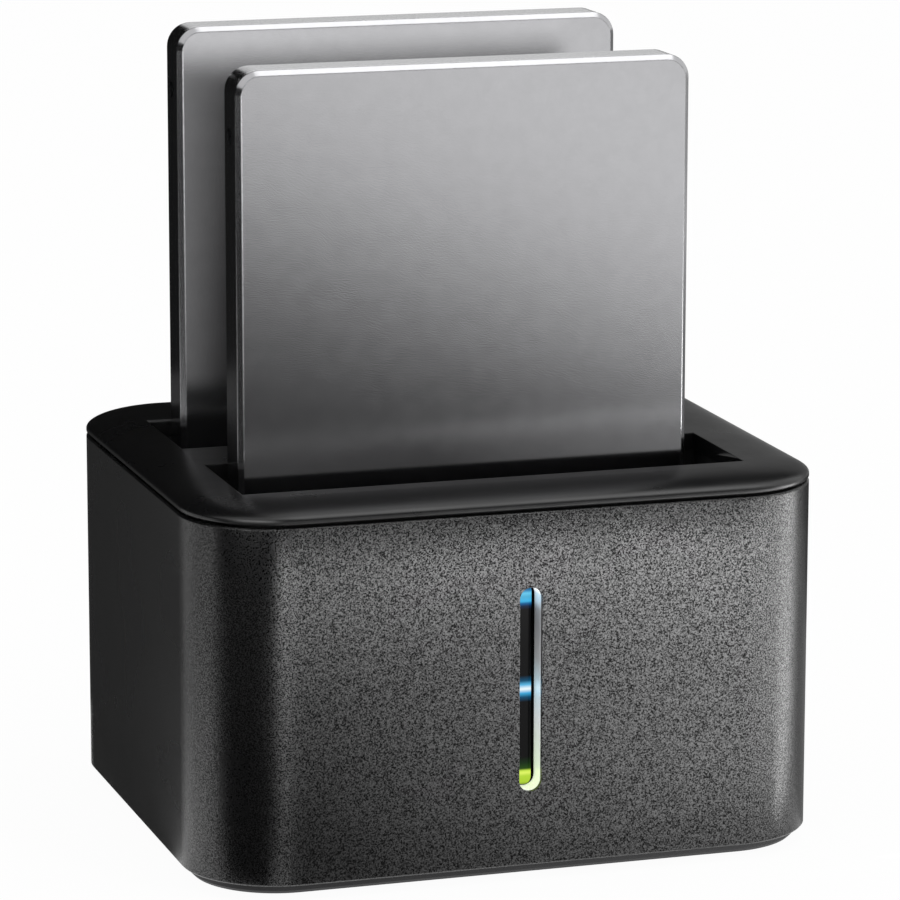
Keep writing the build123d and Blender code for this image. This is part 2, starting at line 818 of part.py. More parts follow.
with BuildPart() as led_board:
    with Locations((light_x, led_board_y, led_board_bottom)):
        Box(
            rail_gap,
            led_board_thick,
            led_board_height,
            align=(Align.CENTER, Align.MIN, Align.MIN),
        )
    with Locations(*[(x, led_board_y + led_board_thick / 2, header_pin_z) for x in header_pin_xs]):
        Box(
            pin_width + pin_hole_slack,
            led_board_thick,
            pin_width + pin_hole_slack,
            mode=Mode.SUBTRACT,
        )

led_board.part.label = "led_board"
export_step(led_board.part, "parts/led_board.step")

with BuildPart() as led_header:
    with Locations((light_x, header_front_y, board_top)):
        Box(
            header_pins * header_pitch,
            header_depth,
            header_height,
            align=(Align.CENTER, Align.MIN, Align.MIN),
        )
    with Locations(*[(x, header_front_y, header_pin_z) for x in header_pin_xs]):
        Box(pin_width, 2 * header_depth, pin_width, mode=Mode.SUBTRACT)

led_header.part.label = "led_header"
export_step(led_header.part, "parts/led_header.step")

with BuildPart() as header_pin_row:
    with Locations(*[(x, pin_front_y, header_pin_z) for x in header_pin_xs]):
        Box(
            pin_width,
            pin_length,
            pin_width,
            align=(Align.CENTER, Align.MIN, Align.CENTER),
        )

header_pin_row.part.label = "header_pin_row"
export_step(header_pin_row.part, "parts/header_pin_row.step")

for led_name, led_z in led_heights.items():
    with BuildPart() as led:
        with Locations((light_x, led_board_y, led_z)):
            Box(*led_size, align=(Align.CENTER, Align.MAX, Align.CENTER))
        chamfer(led.faces().sort_by(Axis.Y)[0].edges(), led_chamfer)
    led.part.label = f"{led_name}_led"
    export_step(led.part, f"parts/{led_name}_led.step")


# Light strip: a bright bezel in the shell, a dark lens, and a holder behind both.
bezel_back_y = front_y + bezel_depth
bezel_front_y = front_y + bezel_set_back
bezel_length = light_length + 2 * bezel_rim
bezel_width = light_width + 2 * bezel_rim
flange_front_y = front_y + wall
flange_length = bezel_length + 3.0
flange_width = bezel_width + 3.0
holder_back_y = led_board_y - 0.05
holder_slack = 0.1
led_hollow = (led_size[0] + 0.6, led_size[2] + 0.8)
lens_front_y = bezel_back_y - 0.3
lens_thick = 1.4
lens_back_y = lens_front_y + lens_thick
lens_length = light_length - 0.2
lens_round = 0.25
leg_size = (1.9, 2.4)
leg_back_y = led_board_y - led_size[1] - 0.2
leg_heights = [z - light_z for z in led_heights.values()]


def front_plane(y):
    """Plane parallel to the front wall, whose extrusions grow towards the back."""
    return Plane(origin=(light_x, y, light_z), x_dir=(-1, 0, 0), z_dir=(0, 1, 0))


with BuildPart() as light_bezel:
    with BuildSketch(front_plane(bezel_front_y)):
        SlotOverall(bezel_length, bezel_width, rotation=90)
    extrude(amount=bezel_back_y - bezel_front_y)
    with BuildSketch(front_plane(flange_front_y)):
        SlotOverall(flange_length, flange_width, rotation=90)
    extrude(amount=bezel_flange)
    with BuildSketch(front_plane(bezel_front_y)):
        SlotOverall(light_length, light_width, rotation=90)
    extrude(amount=bezel_back_y - bezel_front_y, mode=Mode.SUBTRACT)

light_bezel.part.label = "light_bezel"
export_step(light_bezel.part, "parts/light_bezel.step")

with BuildPart() as light_lens:
    with BuildSketch(front_plane(lens_front_y)):
        SlotOverall(lens_length, lens_width, rotation=90)
    extrude(amount=lens_thick)
    fillet(light_lens.faces().sort_by(Axis.Y)[0].edges(), lens_round)
    with BuildSketch(front_plane(lens_back_y)):
        with Locations(*[(0, z) for z in leg_heights]):
            Rectangle(*leg_size)
    extrude(amount=leg_back_y - lens_back_y)

light_lens.part.label = "light_lens"
export_step(light_lens.part, "parts/light_lens.step")

with BuildPart() as light_holder:
    with BuildSketch(front_plane(bezel_back_y)):
        SlotOverall(flange_length, flange_width, rotation=90)
    extrude(amount=holder_back_y - bezel_back_y)
    # Pocket for the lens, channels for its legs, and hollows for the lights
    with BuildSketch(front_plane(bezel_back_y)):
        SlotOverall(lens_length + holder_slack, lens_width + holder_slack, rotation=90)
    extrude(amount=lens_back_y + holder_slack / 2 - bezel_back_y, mode=Mode.SUBTRACT)
    with BuildSketch(front_plane(bezel_back_y)):
        with Locations(*[(0, z) for z in leg_heights]):
            Rectangle(leg_size[0] + holder_slack, leg_size[1] + holder_slack)
    extrude(amount=holder_back_y - bezel_back_y, mode=Mode.SUBTRACT)
    with BuildSketch(front_plane(holder_back_y)):
        with Locations(*[(0, z) for z in leg_heights]):
            Rectangle(*led_hollow)
    extrude(amount=-led_size[1] - holder_slack, mode=Mode.SUBTRACT)

light_holder.part.label = "light_holder"
export_step(light_holder.part, "parts/light_holder.step")


# Ports at the back. Both stand on the board and look out through the shell.
port_face_y = back_y - 0.2
usb_size = (12.0, 10.9)
usb_corner = 0.6
usb_length = 15.5
usb_sheet = 0.35
usb_inside = (usb_size[0] - 2 * usb_sheet, usb_size[1] - 2 * usb_sheet)
usb_inside_corner = 0.3
usb_face_y = port_face_y - 0.3
usb_mouth = (8.45, 7.78)
usb_mouth_z = -0.9
usb_upper_mouth = (5.6, 1.9)
usb_upper_mouth_z = usb_mouth_z + (usb_mouth[1] + usb_upper_mouth[1]) / 2
usb_depth = 9.0
usb_tongue = (5.6, 3.2)
usb_tongue_length = 8.2
usb_tongue_chamfer = 0.3
usb_contact_size = (1.0, 7.2, 0.1)
usb_contact_xs = (-1.25, 1.25)
usb_contact_front_y = usb_face_y - usb_depth + 0.1
usb_contact_z = port_centre_z + usb_mouth_z
usb_contact_shift = (usb_tongue[1] + usb_contact_size[2]) / 2


def back_plane(x, z, y):
    """Plane parallel to the back wall, whose extrusions grow into the object."""
    return Plane(origin=(x, y, z), x_dir=(1, 0, 0), z_dir=(0, -1, 0))


with BuildPart() as usb_shell:
    with BuildSketch(back_plane(usb_x, port_centre_z, port_face_y)):
        RectangleRounded(*usb_size, usb_corner)
        RectangleRounded(*usb_inside, usb_inside_corner, mode=Mode.SUBTRACT)
    extrude(amount=usb_length)

usb_shell.part.label = "usb_shell"
export_step(usb_shell.part, "parts/usb_shell.step")

with BuildPart() as usb_insulator:
    with BuildSketch(back_plane(usb_x, port_centre_z, usb_face_y)):
        RectangleRounded(*usb_inside, usb_inside_corner)
    extrude(amount=usb_length + usb_face_y - port_face_y)
    with BuildSketch(back_plane(usb_x, port_centre_z, usb_face_y)):
        with Locations((0, usb_mouth_z)):
            Rectangle(*usb_mouth)
        with Locations((0, usb_upper_mouth_z)):
            Rectangle(*usb_upper_mouth)
    extrude(amount=usb_depth, mode=Mode.SUBTRACT)
    with BuildSketch(back_plane(usb_x, port_centre_z, usb_face_y - usb_depth)):
        with Locations((0, usb_mouth_z)):
            Rectangle(*usb_tongue)
    extrude(amount=-usb_tongue_length)
    tongue_end = usb_insulator.faces().filter_by(Axis.Y).sort_by(Axis.Y)[-2]
    chamfer(tongue_end.edges(), usb_tongue_chamfer)

usb_insulator.part.label = "usb_insulator"
export_step(usb_insulator.part, "parts/usb_insulator.step")

with BuildPart() as usb_contacts:
    with Locations(*[
        (usb_x + x, usb_contact_front_y, usb_contact_z + side * usb_contact_shift)
        for side in (-1, 1)
        for x in usb_contact_xs
    ]):
        Box(*usb_contact_size, align=(Align.CENTER, Align.MIN, Align.CENTER))

usb_contacts.part.label = "usb_contacts"
export_step(usb_contacts.part, "parts/usb_contacts.step")

jack_size = (9.0, 11.0)
jack_corner = 0.5
jack_length = 14.0
jack_bore_radius = 3.15
jack_bore_depth = 9.6
jack_bore_chamfer = 0.4
jack_pin_radius = 1.05
jack_pin_length = 8.6
jack_pin_round = 0.7

with BuildPart() as power_jack:
    with BuildSketch(back_plane(jack_x, port_centre_z, port_face_y)):
        RectangleRounded(*jack_size, jack_corner)
    extrude(amount=jack_length)
    with BuildSketch(back_plane(jack_x, port_centre_z, port_face_y)):
        Circle(jack_bore_radius)
    extrude(amount=jack_bore_depth, mode=Mode.SUBTRACT)
    bore_edge = power_jack.edges().filter_by(GeomType.CIRCLE).sort_by(Axis.Y)[-1]
    chamfer(bore_edge, jack_bore_chamfer)

power_jack.part.label = "power_jack"
export_step(power_jack.part, "parts/power_jack.step")

with BuildPart() as jack_pin:
    with BuildSketch(back_plane(jack_x, port_centre_z, port_face_y - jack_bore_depth)):
        Circle(jack_pin_radius)
    extrude(amount=-jack_pin_length)
    fillet(jack_pin.faces().sort_by(Axis.Y)[-1].edges(), jack_pin_round)

jack_pin.part.label = "jack_pin"
export_step(jack_pin.part, "parts/jack_pin.step")


# Power switch on the board, and the button that pushes its plunger.
switch_width = 8.5
switch_corner = 0.5
switch_back_y = 32.0
switch_length = 6.0
plunger_size = 2.7
plunger_hole = 3.0
plunger_hole_depth = 5.0
plunger_front_y = 29.5
button_face_y = back_y - 0.3
button_flange_radius = 5.2
button_flange_back_y = back_y - wall - drive_gap
button_flange_thick = 1.2
button_stem_radius = 2.3
button_stem_end_y = 34.6
button_socket_depth = 2.0
button_socket_slack = 0.1
button_round = 0.3
plunger_back_y = button_stem_end_y + button_socket_depth
dish_radius = 18.0
dish_depth = 0.4

with BuildPart() as power_switch:
    with BuildSketch(back_plane(button_x, button_z, switch_back_y)):
        RectangleRounded(switch_width, 2 * (button_z - board_top), switch_corner)
    extrude(amount=switch_length)
    with BuildSketch(back_plane(button_x, button_z, switch_back_y)):
        Rectangle(plunger_hole, plunger_hole)
    extrude(amount=plunger_hole_depth, mode=Mode.SUBTRACT)

power_switch.part.label = "power_switch"
export_step(power_switch.part, "parts/power_switch.step")

with BuildPart() as switch_plunger:
    with BuildSketch(back_plane(button_x, button_z, plunger_back_y)):
        Rectangle(plunger_size, plunger_size)
    extrude(amount=plunger_back_y - plunger_front_y)

switch_plunger.part.label = "switch_plunger"
export_step(switch_plunger.part, "parts/switch_plunger.step")

with BuildPart() as power_button:
    flange_front_end = button_flange_back_y - button_flange_thick
    with BuildSketch(back_plane(button_x, button_z, button_face_y)):
        Circle(button_radius)
    extrude(amount=button_face_y - flange_front_end)
    with BuildSketch(back_plane(button_x, button_z, button_flange_back_y)):
        Circle(button_flange_radius)
    extrude(amount=button_flange_thick)
    with BuildSketch(back_plane(button_x, button_z, flange_front_end)):
        Circle(button_stem_radius)
    extrude(amount=flange_front_end - button_stem_end_y)
    fillet(power_button.edges().filter_by(GeomType.CIRCLE).sort_by(Axis.Y)[-1], button_round)
    with BuildSketch(back_plane(button_x, button_z, button_stem_end_y)):
        Rectangle(plunger_size + button_socket_slack, plunger_size + button_socket_slack)
    extrude(amount=-button_socket_depth, mode=Mode.SUBTRACT)
    with Locations((button_x, button_face_y + dish_radius - dish_depth, button_z)):
        Sphere(dish_radius, mode=Mode.SUBTRACT)

power_button.part.label = "power_button"
export_step(power_button.part, "parts/power_button.step")


# Drives. Each is a case with a shallow cover, a board with chips, a plug and screws.
# Heights are measured up from the plug end, depths from the base face at the back.
smallest_corner = 0.5
cover_depth = 1.6
cover_plate = 0.9
case_thick = drive_thick - cover_depth
case_wall = 1.4
case_floor = 0.9
case_chamfer = 0.4
lip_height = 0.8
lip_thick = 0.8
lip_slack = 0.05
post_radius = 2.2
post_slack = 0.2
post_hole_radius = 0.7
sunk_head_radius = 1.5
sunk_head_depth = 0.7
drive_screw_x = 31.2
drive_screw_heights = (5.2, 95.2)
drive_screw_places = [(i * drive_screw_x, z) for i in (-1, 1) for z in drive_screw_heights]
side_pad_width = 5.4
side_pad_height = 9.0
side_pad_depth = 4.6
side_pad_x = (drive_width - case_wall - side_pad_width + 1.0) / 2
hole_places = [(i, z) for i in (-1, 1) for z in drive_hole_heights]
cavity_width = 40.6
cavity_height = 5.2
cavity_from_base = 1.0
drive_board_bottom = 5.4
drive_board_height = 64.0
drive_board_width = 60.0
drive_board_corner = 1.0
drive_board_thick = 0.8
drive_board_from_base = 1.9
drive_board_gap = 0.3
drive_chip_thick = 1.0
drive_chip_chamfer = 0.15
drive_chips = [
    (-12.0, 22.0, 12.0, 12.0),
    (8.0, 22.0, 9.0, 12.0),
    (-14.0, 48.0, 14.0, 18.0),
    (10.0, 48.0, 14.0, 18.0),
]
plug_block_width = 39.6
plug_block_from_base = 2.75
plug_block_thick = 2.2
plug_block_height = 4.4
drive_contact_size = (0.8, 0.08, 4.2)
drive_contact_foot = tongue_tip + 0.2


def drive_plane(end, from_base, x=0):
    """Plane in a drive, parallel to its faces: extrusions grow from base to cover."""
    return Plane(
        origin=(drive_x + x, end.Y - from_base, end.Z), x_dir=(1, 0, 0), z_dir=(0, -1, 0)
    )


def drive_outline(inset, mode=Mode.ADD):
    """Rounded outline of a drive, made smaller by the inset on each side."""
    with Locations((0, drive_height / 2)):
        RectangleRounded(
            drive_width - 2 * inset,
            drive_height - 2 * inset,
            max(drive_corner - inset, smallest_corner),
            mode=mode,
        )


def make_drive_cover(end):
    """Flat metal cover with a bevelled edge, and a lip that drops into the case."""
    with BuildPart() as cover:
        with BuildSketch(drive_plane(end, case_thick)):
            drive_outline(0)
        extrude(amount=cover_depth)
        chamfer(cover.faces().sort_by(Axis.Y)[0].edges(), drive_bevel)
        with BuildSketch(drive_plane(end, case_thick)):
            drive_outline(case_wall)
            with Locations((plug_offset, cavity_height / 2)):
                Rectangle(cavity_width, cavity_height)
        extrude(amount=cover_depth - cover_plate, mode=Mode.SUBTRACT)
        with BuildSketch(drive_plane(end, case_thick - lip_height)):
            drive_outline(case_wall + lip_slack)
            drive_outline(case_wall + lip_thick, mode=Mode.SUBTRACT)
            with Locations((plug_offset, 0)):
                Rectangle(cavity_width, 4 * cavity_height, mode=Mode.SUBTRACT)
            with Locations(*drive_screw_places):
                Circle(post_radius + post_slack, mode=Mode.SUBTRACT)
        extrude(amount=lip_height + cover_depth - cover_plate)
    return cover


def make_drive_case(end):
    """Tray with screw posts, pads for the mounting holes, and an opening for the plug."""
    with BuildPart() as case:
        with BuildSketch(drive_plane(end, 0)):
            drive_outline(0)
        extrude(amount=case_thick)
        chamfer(case.faces().sort_by(Axis.Y)[-1].edges(), case_chamfer)
        with BuildSketch(drive_plane(end, case_floor)):
            drive_outline(case_wall)
        extrude(amount=case_thick - case_floor, mode=Mode.SUBTRACT)
        with BuildSketch(drive_plane(end, case_floor)):
            with Locations(*drive_screw_places):
                Circle(post_radius)
        extrude(amount=case_thick - case_floor)
        with BuildSketch(drive_plane(end, case_floor)):
            with Locations(*[(i * side_pad_x, z) for i, z in hole_places]):
                Rectangle(side_pad_width, side_pad_height)
        extrude(amount=side_pad_depth - case_floor)
        with BuildSketch(drive_plane(end, cavity_from_base, plug_offset)):
            with Locations((0, cavity_height / 2)):
                Rectangle(cavity_width, cavity_height)
        extrude(amount=case_thick - cavity_from_base, mode=Mode.SUBTRACT)
        # Threaded mounting holes in the sides and in the base face
        for side, height in hole_places:
            side_face = Plane(
                origin=(
                    drive_x + side * drive_width / 2,
                    end.Y - side_hole_from_base,
                    end.Z + height,
                ),
                z_dir=(side, 0, 0),
            )
            with BuildSketch(side_face):
                Circle(thread_radius)
            extrude(amount=-side_hole_depth, mode=Mode.SUBTRACT)
        with BuildSketch(drive_plane(end, 0)):
            with Locations(*[(i * base_hole_x, z) for i, z in hole_places]):
                Circle(thread_radius)
        extrude(amount=base_hole_depth, mode=Mode.SUBTRACT)
        # Holes for the cover's screws, with the heads sunk into the base face
        with BuildSketch(drive_plane(end, 0)):
            with Locations(*drive_screw_places):
                Circle(post_hole_radius)
        extrude(amount=case_thick, mode=Mode.SUBTRACT)
        with BuildSketch(drive_plane(end, 0)):
            with Locations(*drive_screw_places):
                Circle(sunk_head_radius)
        extrude(amount=sunk_head_depth, mode=Mode.SUBTRACT)
    return case


def make_drive_board(end):
    """Board inside a drive, cut away around the pads and posts."""
    with BuildPart() as board:
        with BuildSketch(drive_plane(end, drive_board_from_base)):
            with Locations((0, drive_board_bottom + drive_board_height / 2)):
                RectangleRounded(drive_board_width, drive_board_height, drive_board_corner)
            with Locations(*[(i * side_pad_x, z) for i, z in hole_places]):
                Rectangle(
                    side_pad_width + 2 * drive_board_gap,
                    side_pad_height + 2 * drive_board_gap,
                    mode=Mode.SUBTRACT,
                )
            with Locations(*drive_screw_places):
                Circle(post_radius + drive_board_gap, mode=Mode.SUBTRACT)
        extrude(amount=drive_board_thick)
    return board


def make_drive_chips(end):
    """Controller, buffer and two storage chips on the drive's board."""
    with BuildPart() as chips:
        with BuildSketch(drive_plane(end, drive_board_from_base + drive_board_thick)):
            for x, z, width, height in drive_chips:
                with Locations((x, z)):
                    Rectangle(width, height)
        extrude(amount=drive_chip_thick)
        chamfer(chips.faces().group_by(Axis.Y)[0].edges(), drive_chip_chamfer)
    return chips


def make_drive_plug(end):
    """Plug of a drive: a block on the board, and two flat tongues in the opening."""
    with BuildPart() as plug:
        with BuildSketch(drive_plane(end, plug_block_from_base, plug_offset)):
            with Locations((0, cavity_height + plug_block_height / 2)):
                Rectangle(plug_block_width, plug_block_height)
        extrude(amount=plug_block_thick)
        with BuildSketch(drive_plane(end, plug_from_base - tongue_thick / 2, plug_offset)):
            for centre, width, _ in tongues:
                with Locations((centre, tongue_tip + tongue_length / 2)):
                    Rectangle(width, tongue_length)
        extrude(amount=tongue_thick)
    return plug


def make_drive_contacts(end):
    """Flat contacts on the back of the tongues."""
    tongue_y = end.Y - plug_from_base
    with BuildPart() as contacts:
        with Locations(*contact_places(tongue_y, end.Z + drive_contact_foot, tongue_thick / 2)):
            Box(*drive_contact_size, align=(Align.CENTER, Align.MIN, Align.MIN))
    return contacts


def make_drive_screws(end):
    """Four small screws that go through the case into the cover's posts."""
    return make_screws(
        [
            Location((drive_x + x, end.Y - sunk_head_depth, end.Z + z), (90, 0, 0))
            for x, z in drive_screw_places
        ],
        head_radius=sunk_head_radius - 0.1,
        head_height=0.6,
        shank_radius=post_hole_radius - thread_slack,
        shank_length=case_thick - 1.0,
    )


drive_makers = {
    "cover": make_drive_cover,
    "case": make_drive_case,
    "board": make_drive_board,
    "chips": make_drive_chips,
    "plug": make_drive_plug,
    "contacts": make_drive_contacts,
    "screws": make_drive_screws,
}
drive_ends = {
    "front": Vector(0, drive_back_y, drive_bottoms[0]),
    "rear": Vector(0, drive_back_y + bay_pitch, drive_bottoms[1]),
}

for bay, end in drive_ends.items():
    for piece, maker in drive_makers.items():
        made = maker(end)
        made.part.label = f"{bay}_drive_{piece}"
        export_step(made.part, f"parts/{bay}_drive_{piece}.step")
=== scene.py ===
# %% [markdown]
# Docking station for two slim drives.
# The object is a small desktop dock: a rounded black case with a crowned top,
# two metal drives standing in its bays, and a narrow light strip in front.
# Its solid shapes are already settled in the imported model. This lesson loads
# them as a fixed frame, and then gives each surface the finish of the real one.

import math

import bmesh
import bpy
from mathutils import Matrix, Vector


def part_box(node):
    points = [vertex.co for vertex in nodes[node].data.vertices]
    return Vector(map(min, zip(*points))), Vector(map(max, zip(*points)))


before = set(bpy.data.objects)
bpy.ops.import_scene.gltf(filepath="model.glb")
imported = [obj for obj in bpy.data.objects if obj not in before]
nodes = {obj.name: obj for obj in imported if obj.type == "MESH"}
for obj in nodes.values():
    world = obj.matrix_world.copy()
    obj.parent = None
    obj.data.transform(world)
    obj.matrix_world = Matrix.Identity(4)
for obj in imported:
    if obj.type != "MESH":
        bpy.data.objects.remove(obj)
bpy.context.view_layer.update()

# %% [markdown]
# The camera stands where the photograph was taken from: a little to the left,
# above the dock, and far away behind a long lens, so that upright edges stay
# almost parallel. Its place was found by fitting known edges of the drives
# and the case, so nothing has to be moved or scaled to match. The place is
# in metres, and the turns are in degrees.

# %% Camera
CAMERA_PLACE = (-0.21687, -0.68381, 0.21019)
CAMERA_YAW = 17.7
CAMERA_PITCH = 12.13
CAMERA_ROLL = -0.08
LENS_MM = 192.58
SENSOR_MM = 36

camera_data = bpy.data.cameras.new("camera")
camera_data.lens = LENS_MM
camera_data.sensor_width = SENSOR_MM
camera_data.clip_start = 0.01
camera = bpy.data.objects.new("camera", camera_data)
camera.location = CAMERA_PLACE
camera.rotation_euler = (
    math.radians(90 - CAMERA_PITCH),
    math.radians(CAMERA_ROLL),
    math.radians(-CAMERA_YAW),
)
bpy.context.scene.collection.objects.link(camera)
bpy.context.scene.camera = camera
bpy.context.scene.view_settings.view_transform = "Standard"
print("camera is", round(Vector(CAMERA_PLACE).length, 3), "m from the dock's foot")

# %% [markdown]
# Small helpers serve every material. Colours are written as the hex codes
# that a paint program shows, and Blender works in linear light, so one
# function turns one into the other. The second feeds other sockets into a
# node, and the third adds a node with its settings and its links.

# %% Helpers for materials
MM = 0.001


def linear(code):
    """Colour in linear light from a hex code such as 8a8b8d."""
    parts = [int(code[i : i + 2], 16) / 255 for i in (0, 2, 4)]
    return tuple(
        c / 12.92 if c <= 0.04045 else ((c + 0.055) / 1.055) ** 2.4 for c in parts
    ) + (1.0,)


def feed(tree, node, links):
    """Links other sockets into the inputs of a node; links are input: socket."""
    for name, source in links.items():
        tree.links.new(source, node.inputs[name])


def add(tree, kind, settings=None, links=None):
    """Adds one node with its settings, and links its inputs to other sockets."""
    node = tree.nodes.new("ShaderNode" + kind)
    for name, value in (settings or {}).items():
        if isinstance(name, int) or name in node.inputs:
            node.inputs[name].default_value = value
        else:
            setattr(node, name, value)
    feed(tree, node, links or {})
    return node


print("mid grey in linear light:", [round(c, 3) for c in linear("808080")[:3]])

# %% [markdown]
# A finish starts as one shader with its even values set on its own sockets.
# Real surfaces then need patterns on top: a relief, which is what blasting or
# moulding leaves, and a slight unevenness of gloss from handling. All of them
# read the object's own coordinates, in metres, so a pattern's scale is one
# over its real size. The middle of a noise's range, from about 0.35 to 0.65,
# holds nearly all of its values, and is what gets spread to a wanted range.

# %% Start of a finish
NOISE_LOW, NOISE_HIGH = 0.35, 0.65


def start_finish(name, colour, **values):
    """New material with one shader; values are that shader's even settings."""
    material = bpy.data.materials.new(name)
    material.use_nodes = True
    tree = material.node_tree
    shader = tree.nodes["Principled BSDF"]
    shader.inputs["Base Color"].default_value = linear(colour)
    for key, value in values.items():
        shader.inputs[key.replace("_", " ")].default_value = value
    return material, tree, shader


print("a noise's values are spread from", NOISE_LOW, "to", NOISE_HIGH)

# %% [markdown]
# The case is ABS, moulded in a steel tool whose wall was etched by sparks.
# That leaves a fine even grain, only some hundredths of a millimetre deep. It
# is drawn about 0.2 mm across, a little coarser than the real one, because a
# finer one would vanish at this picture's size. The plastic itself is nearly
# black: what looks grey is the room's light on thousands of tiny slopes. So
# the grain is relief first. Shade is also painted into its pits: they are
# drawn darker and mirror less than its tips, standing in for the shade that
# the grain casts on itself.

# %% Grained ABS of the case
GRAIN_MM = 0.21
GRAIN_DEPTH_MM = 0.025
CASE_EDGE_MM = 0.12
HANDLING_MM = 22
PIT_LEVEL, TIP_LEVEL = 0.40, 0.62

grained_abs, tree, shader = start_finish(
    "grained_moulded_abs", "0c0c0d", IOR=1.53, Specular_IOR_Level=1.0
)
place = add(tree, "TexCoord").outputs["Object"]
grain = add(
    tree,
    "TexNoise",
    {"Scale": 1 / (GRAIN_MM * MM), "Detail": 3.0, "Roughness": 0.6},
    {"Vector": place},
).outputs["Fac"]
handling = add(
    tree, "TexNoise", {"Scale": 1 / (HANDLING_MM * MM)}, {"Vector": place}
).outputs["Fac"]
gloss = add(
    tree,
    "MapRange",
    {"From Min": NOISE_LOW, "From Max": NOISE_HIGH, "To Min": 0.25, "To Max": 0.31},
    {"Value": handling},
)
# painted shade: this mask makes the pits darker and less mirroring than the tips
painted_pit_shade = add(
    tree, "MapRange", {"From Min": PIT_LEVEL, "From Max": TIP_LEVEL}, {"Value": grain}
)
colour = add(
    tree,
    "Mix",
    {"data_type": "RGBA", 6: linear("090909"), 7: linear("131314")},
    {0: painted_pit_shade.outputs["Result"]},
)
pit_shade_tint = add(
    tree,
    "Mix",
    {"data_type": "RGBA", 6: linear("303030"), 7: linear("ffffff")},
    {0: painted_pit_shade.outputs["Result"]},
)
edges = add(tree, "Bevel", {"Radius": CASE_EDGE_MM * MM})
slopes = add(
    tree,
    "Bump",
    {"Strength": 1.0, "Distance": GRAIN_DEPTH_MM * MM},
    {"Height": grain, "Normal": edges.outputs["Normal"]},
)
feed(
    tree,
    shader,
    {
        "Base Color": colour.outputs[2],
        "Specular Tint": pit_shade_tint.outputs[2],
        "Roughness": gloss.outputs["Result"],
        "Normal": slopes.outputs["Normal"],
    },
)
print("grain of the case:", GRAIN_MM, "mm wide,", GRAIN_DEPTH_MM, "mm deep")

# %% [markdown]
# The top cover is the same plastic from a polished tool. It is smooth and
# satin, and shows soft reflections of the drives. A very shallow waviness,
# as moulded gloss parts have, keeps these reflections from looking ruled.
# Its edges are softened by a few tenths, as a tool's corners always are,
# and that is what draws a fine bright line along them.

# %% Satin ABS of the cover and the button
WAVE_MM, WAVE_DEPTH_MM = 6, 0.006
COVER_HANDLING_MM = 14
COVER_EDGE_MM = 0.25

satin_abs, tree, shader = start_finish("satin_moulded_abs", "0c0c0d", IOR=1.53)
place = add(tree, "TexCoord").outputs["Object"]
waviness = add(
    tree, "TexNoise", {"Scale": 1 / (WAVE_MM * MM), "Detail": 1.0}, {"Vector": place}
).outputs["Fac"]
handling = add(
    tree,
    "TexNoise",
    {"Scale": 1 / (COVER_HANDLING_MM * MM), "Detail": 4.0, "Roughness": 0.6},
    {"Vector": place},
).outputs["Fac"]
gloss = add(
    tree,
    "MapRange",
    {"From Min": NOISE_LOW, "From Max": NOISE_HIGH, "To Min": 0.27, "To Max": 0.34},
    {"Value": handling},
)
edges = add(tree, "Bevel", {"Radius": COVER_EDGE_MM * MM})
slopes = add(
    tree,
    "Bump",
    {"Strength": 1.0, "Distance": WAVE_DEPTH_MM * MM},
    {"Height": waviness, "Normal": edges.outputs["Normal"]},
)
feed(
    tree,
    shader,
    {"Roughness": gloss.outputs["Result"], "Normal": slopes.outputs["Normal"]},
)
print("satin finish made")

# %% [markdown]
# Several parts have the plain surface of a tool that nobody polished: the
# moulded ABS inside the case and below it, the nylon of the sockets, the
# epoxy of the chips, and the pressed and sintered ferrite of the inductors.
# One function makes them all, because only colour, gloss and the size of the
# marks differ. The feet are soft rubber, duller still, with a bloom of dust.

# %% Dull mouldings and rubber
def dull_finish(name, colour, roughness, ior, mark_mm, depth_mm):
    """Even, dull surface with a fine relief whose marks are mark_mm wide."""
    material, tree, shader = start_finish(name, colour, Roughness=roughness, IOR=ior)
    place = add(tree, "TexCoord").outputs["Object"]
    marks = add(
        tree, "TexNoise", {"Scale": 1 / (mark_mm * MM), "Detail": 3.0}, {"Vector": place}
    ).outputs["Fac"]
    slopes = add(
        tree, "Bump", {"Strength": 1.0, "Distance": depth_mm * MM}, {"Height": marks}
    )
    feed(tree, shader, {"Normal": slopes.outputs["Normal"]})
    return material


plain_abs = dull_finish("plain_moulded_abs", "18181a", 0.55, 1.53, 0.5, 0.008)
light_trap = dull_finish("black_etched_abs", "030303", 0.9, 1.1, 0.5, 0.008)
socket_nylon = dull_finish("moulded_nylon", "151516", 0.45, 1.53, 0.25, 0.006)
chip_epoxy = dull_finish("moulded_epoxy", "1a1a1c", 0.6, 1.55, 0.12, 0.006)
ferrite = dull_finish("sintered_ferrite", "38383b", 0.7, 1.9, 0.2, 0.015)

BLOOM_MM, BLOOM_DEPTH_MM = 1.8, 0.02
foot_rubber, tree, shader = start_finish(
    "moulded_rubber", "222223", Roughness=0.85, IOR=1.52
)
place = add(tree, "TexCoord").outputs["Object"]
bloom = add(
    tree,
    "TexNoise",
    {"Scale": 1 / (BLOOM_MM * MM), "Detail": 5.0, "Roughness": 0.65},
    {"Vector": place},
).outputs["Fac"]
dusty = add(
    tree, "MapRange", {"From Min": NOISE_LOW, "From Max": NOISE_HIGH}, {"Value": bloom}
)
colour = add(
    tree,
    "Mix",
    {"data_type": "RGBA", 6: linear("1c1c1d"), 7: linear("2c2c2c")},
    {0: dusty.outputs["Result"]},
)
slopes = add(
    tree, "Bump", {"Strength": 1.0, "Distance": BLOOM_DEPTH_MM * MM}, {"Height": bloom}
)
feed(tree, shader, {"Base Color": colour.outputs[2], "Normal": slopes.outputs["Normal"]})
print("dull mouldings and rubber made")

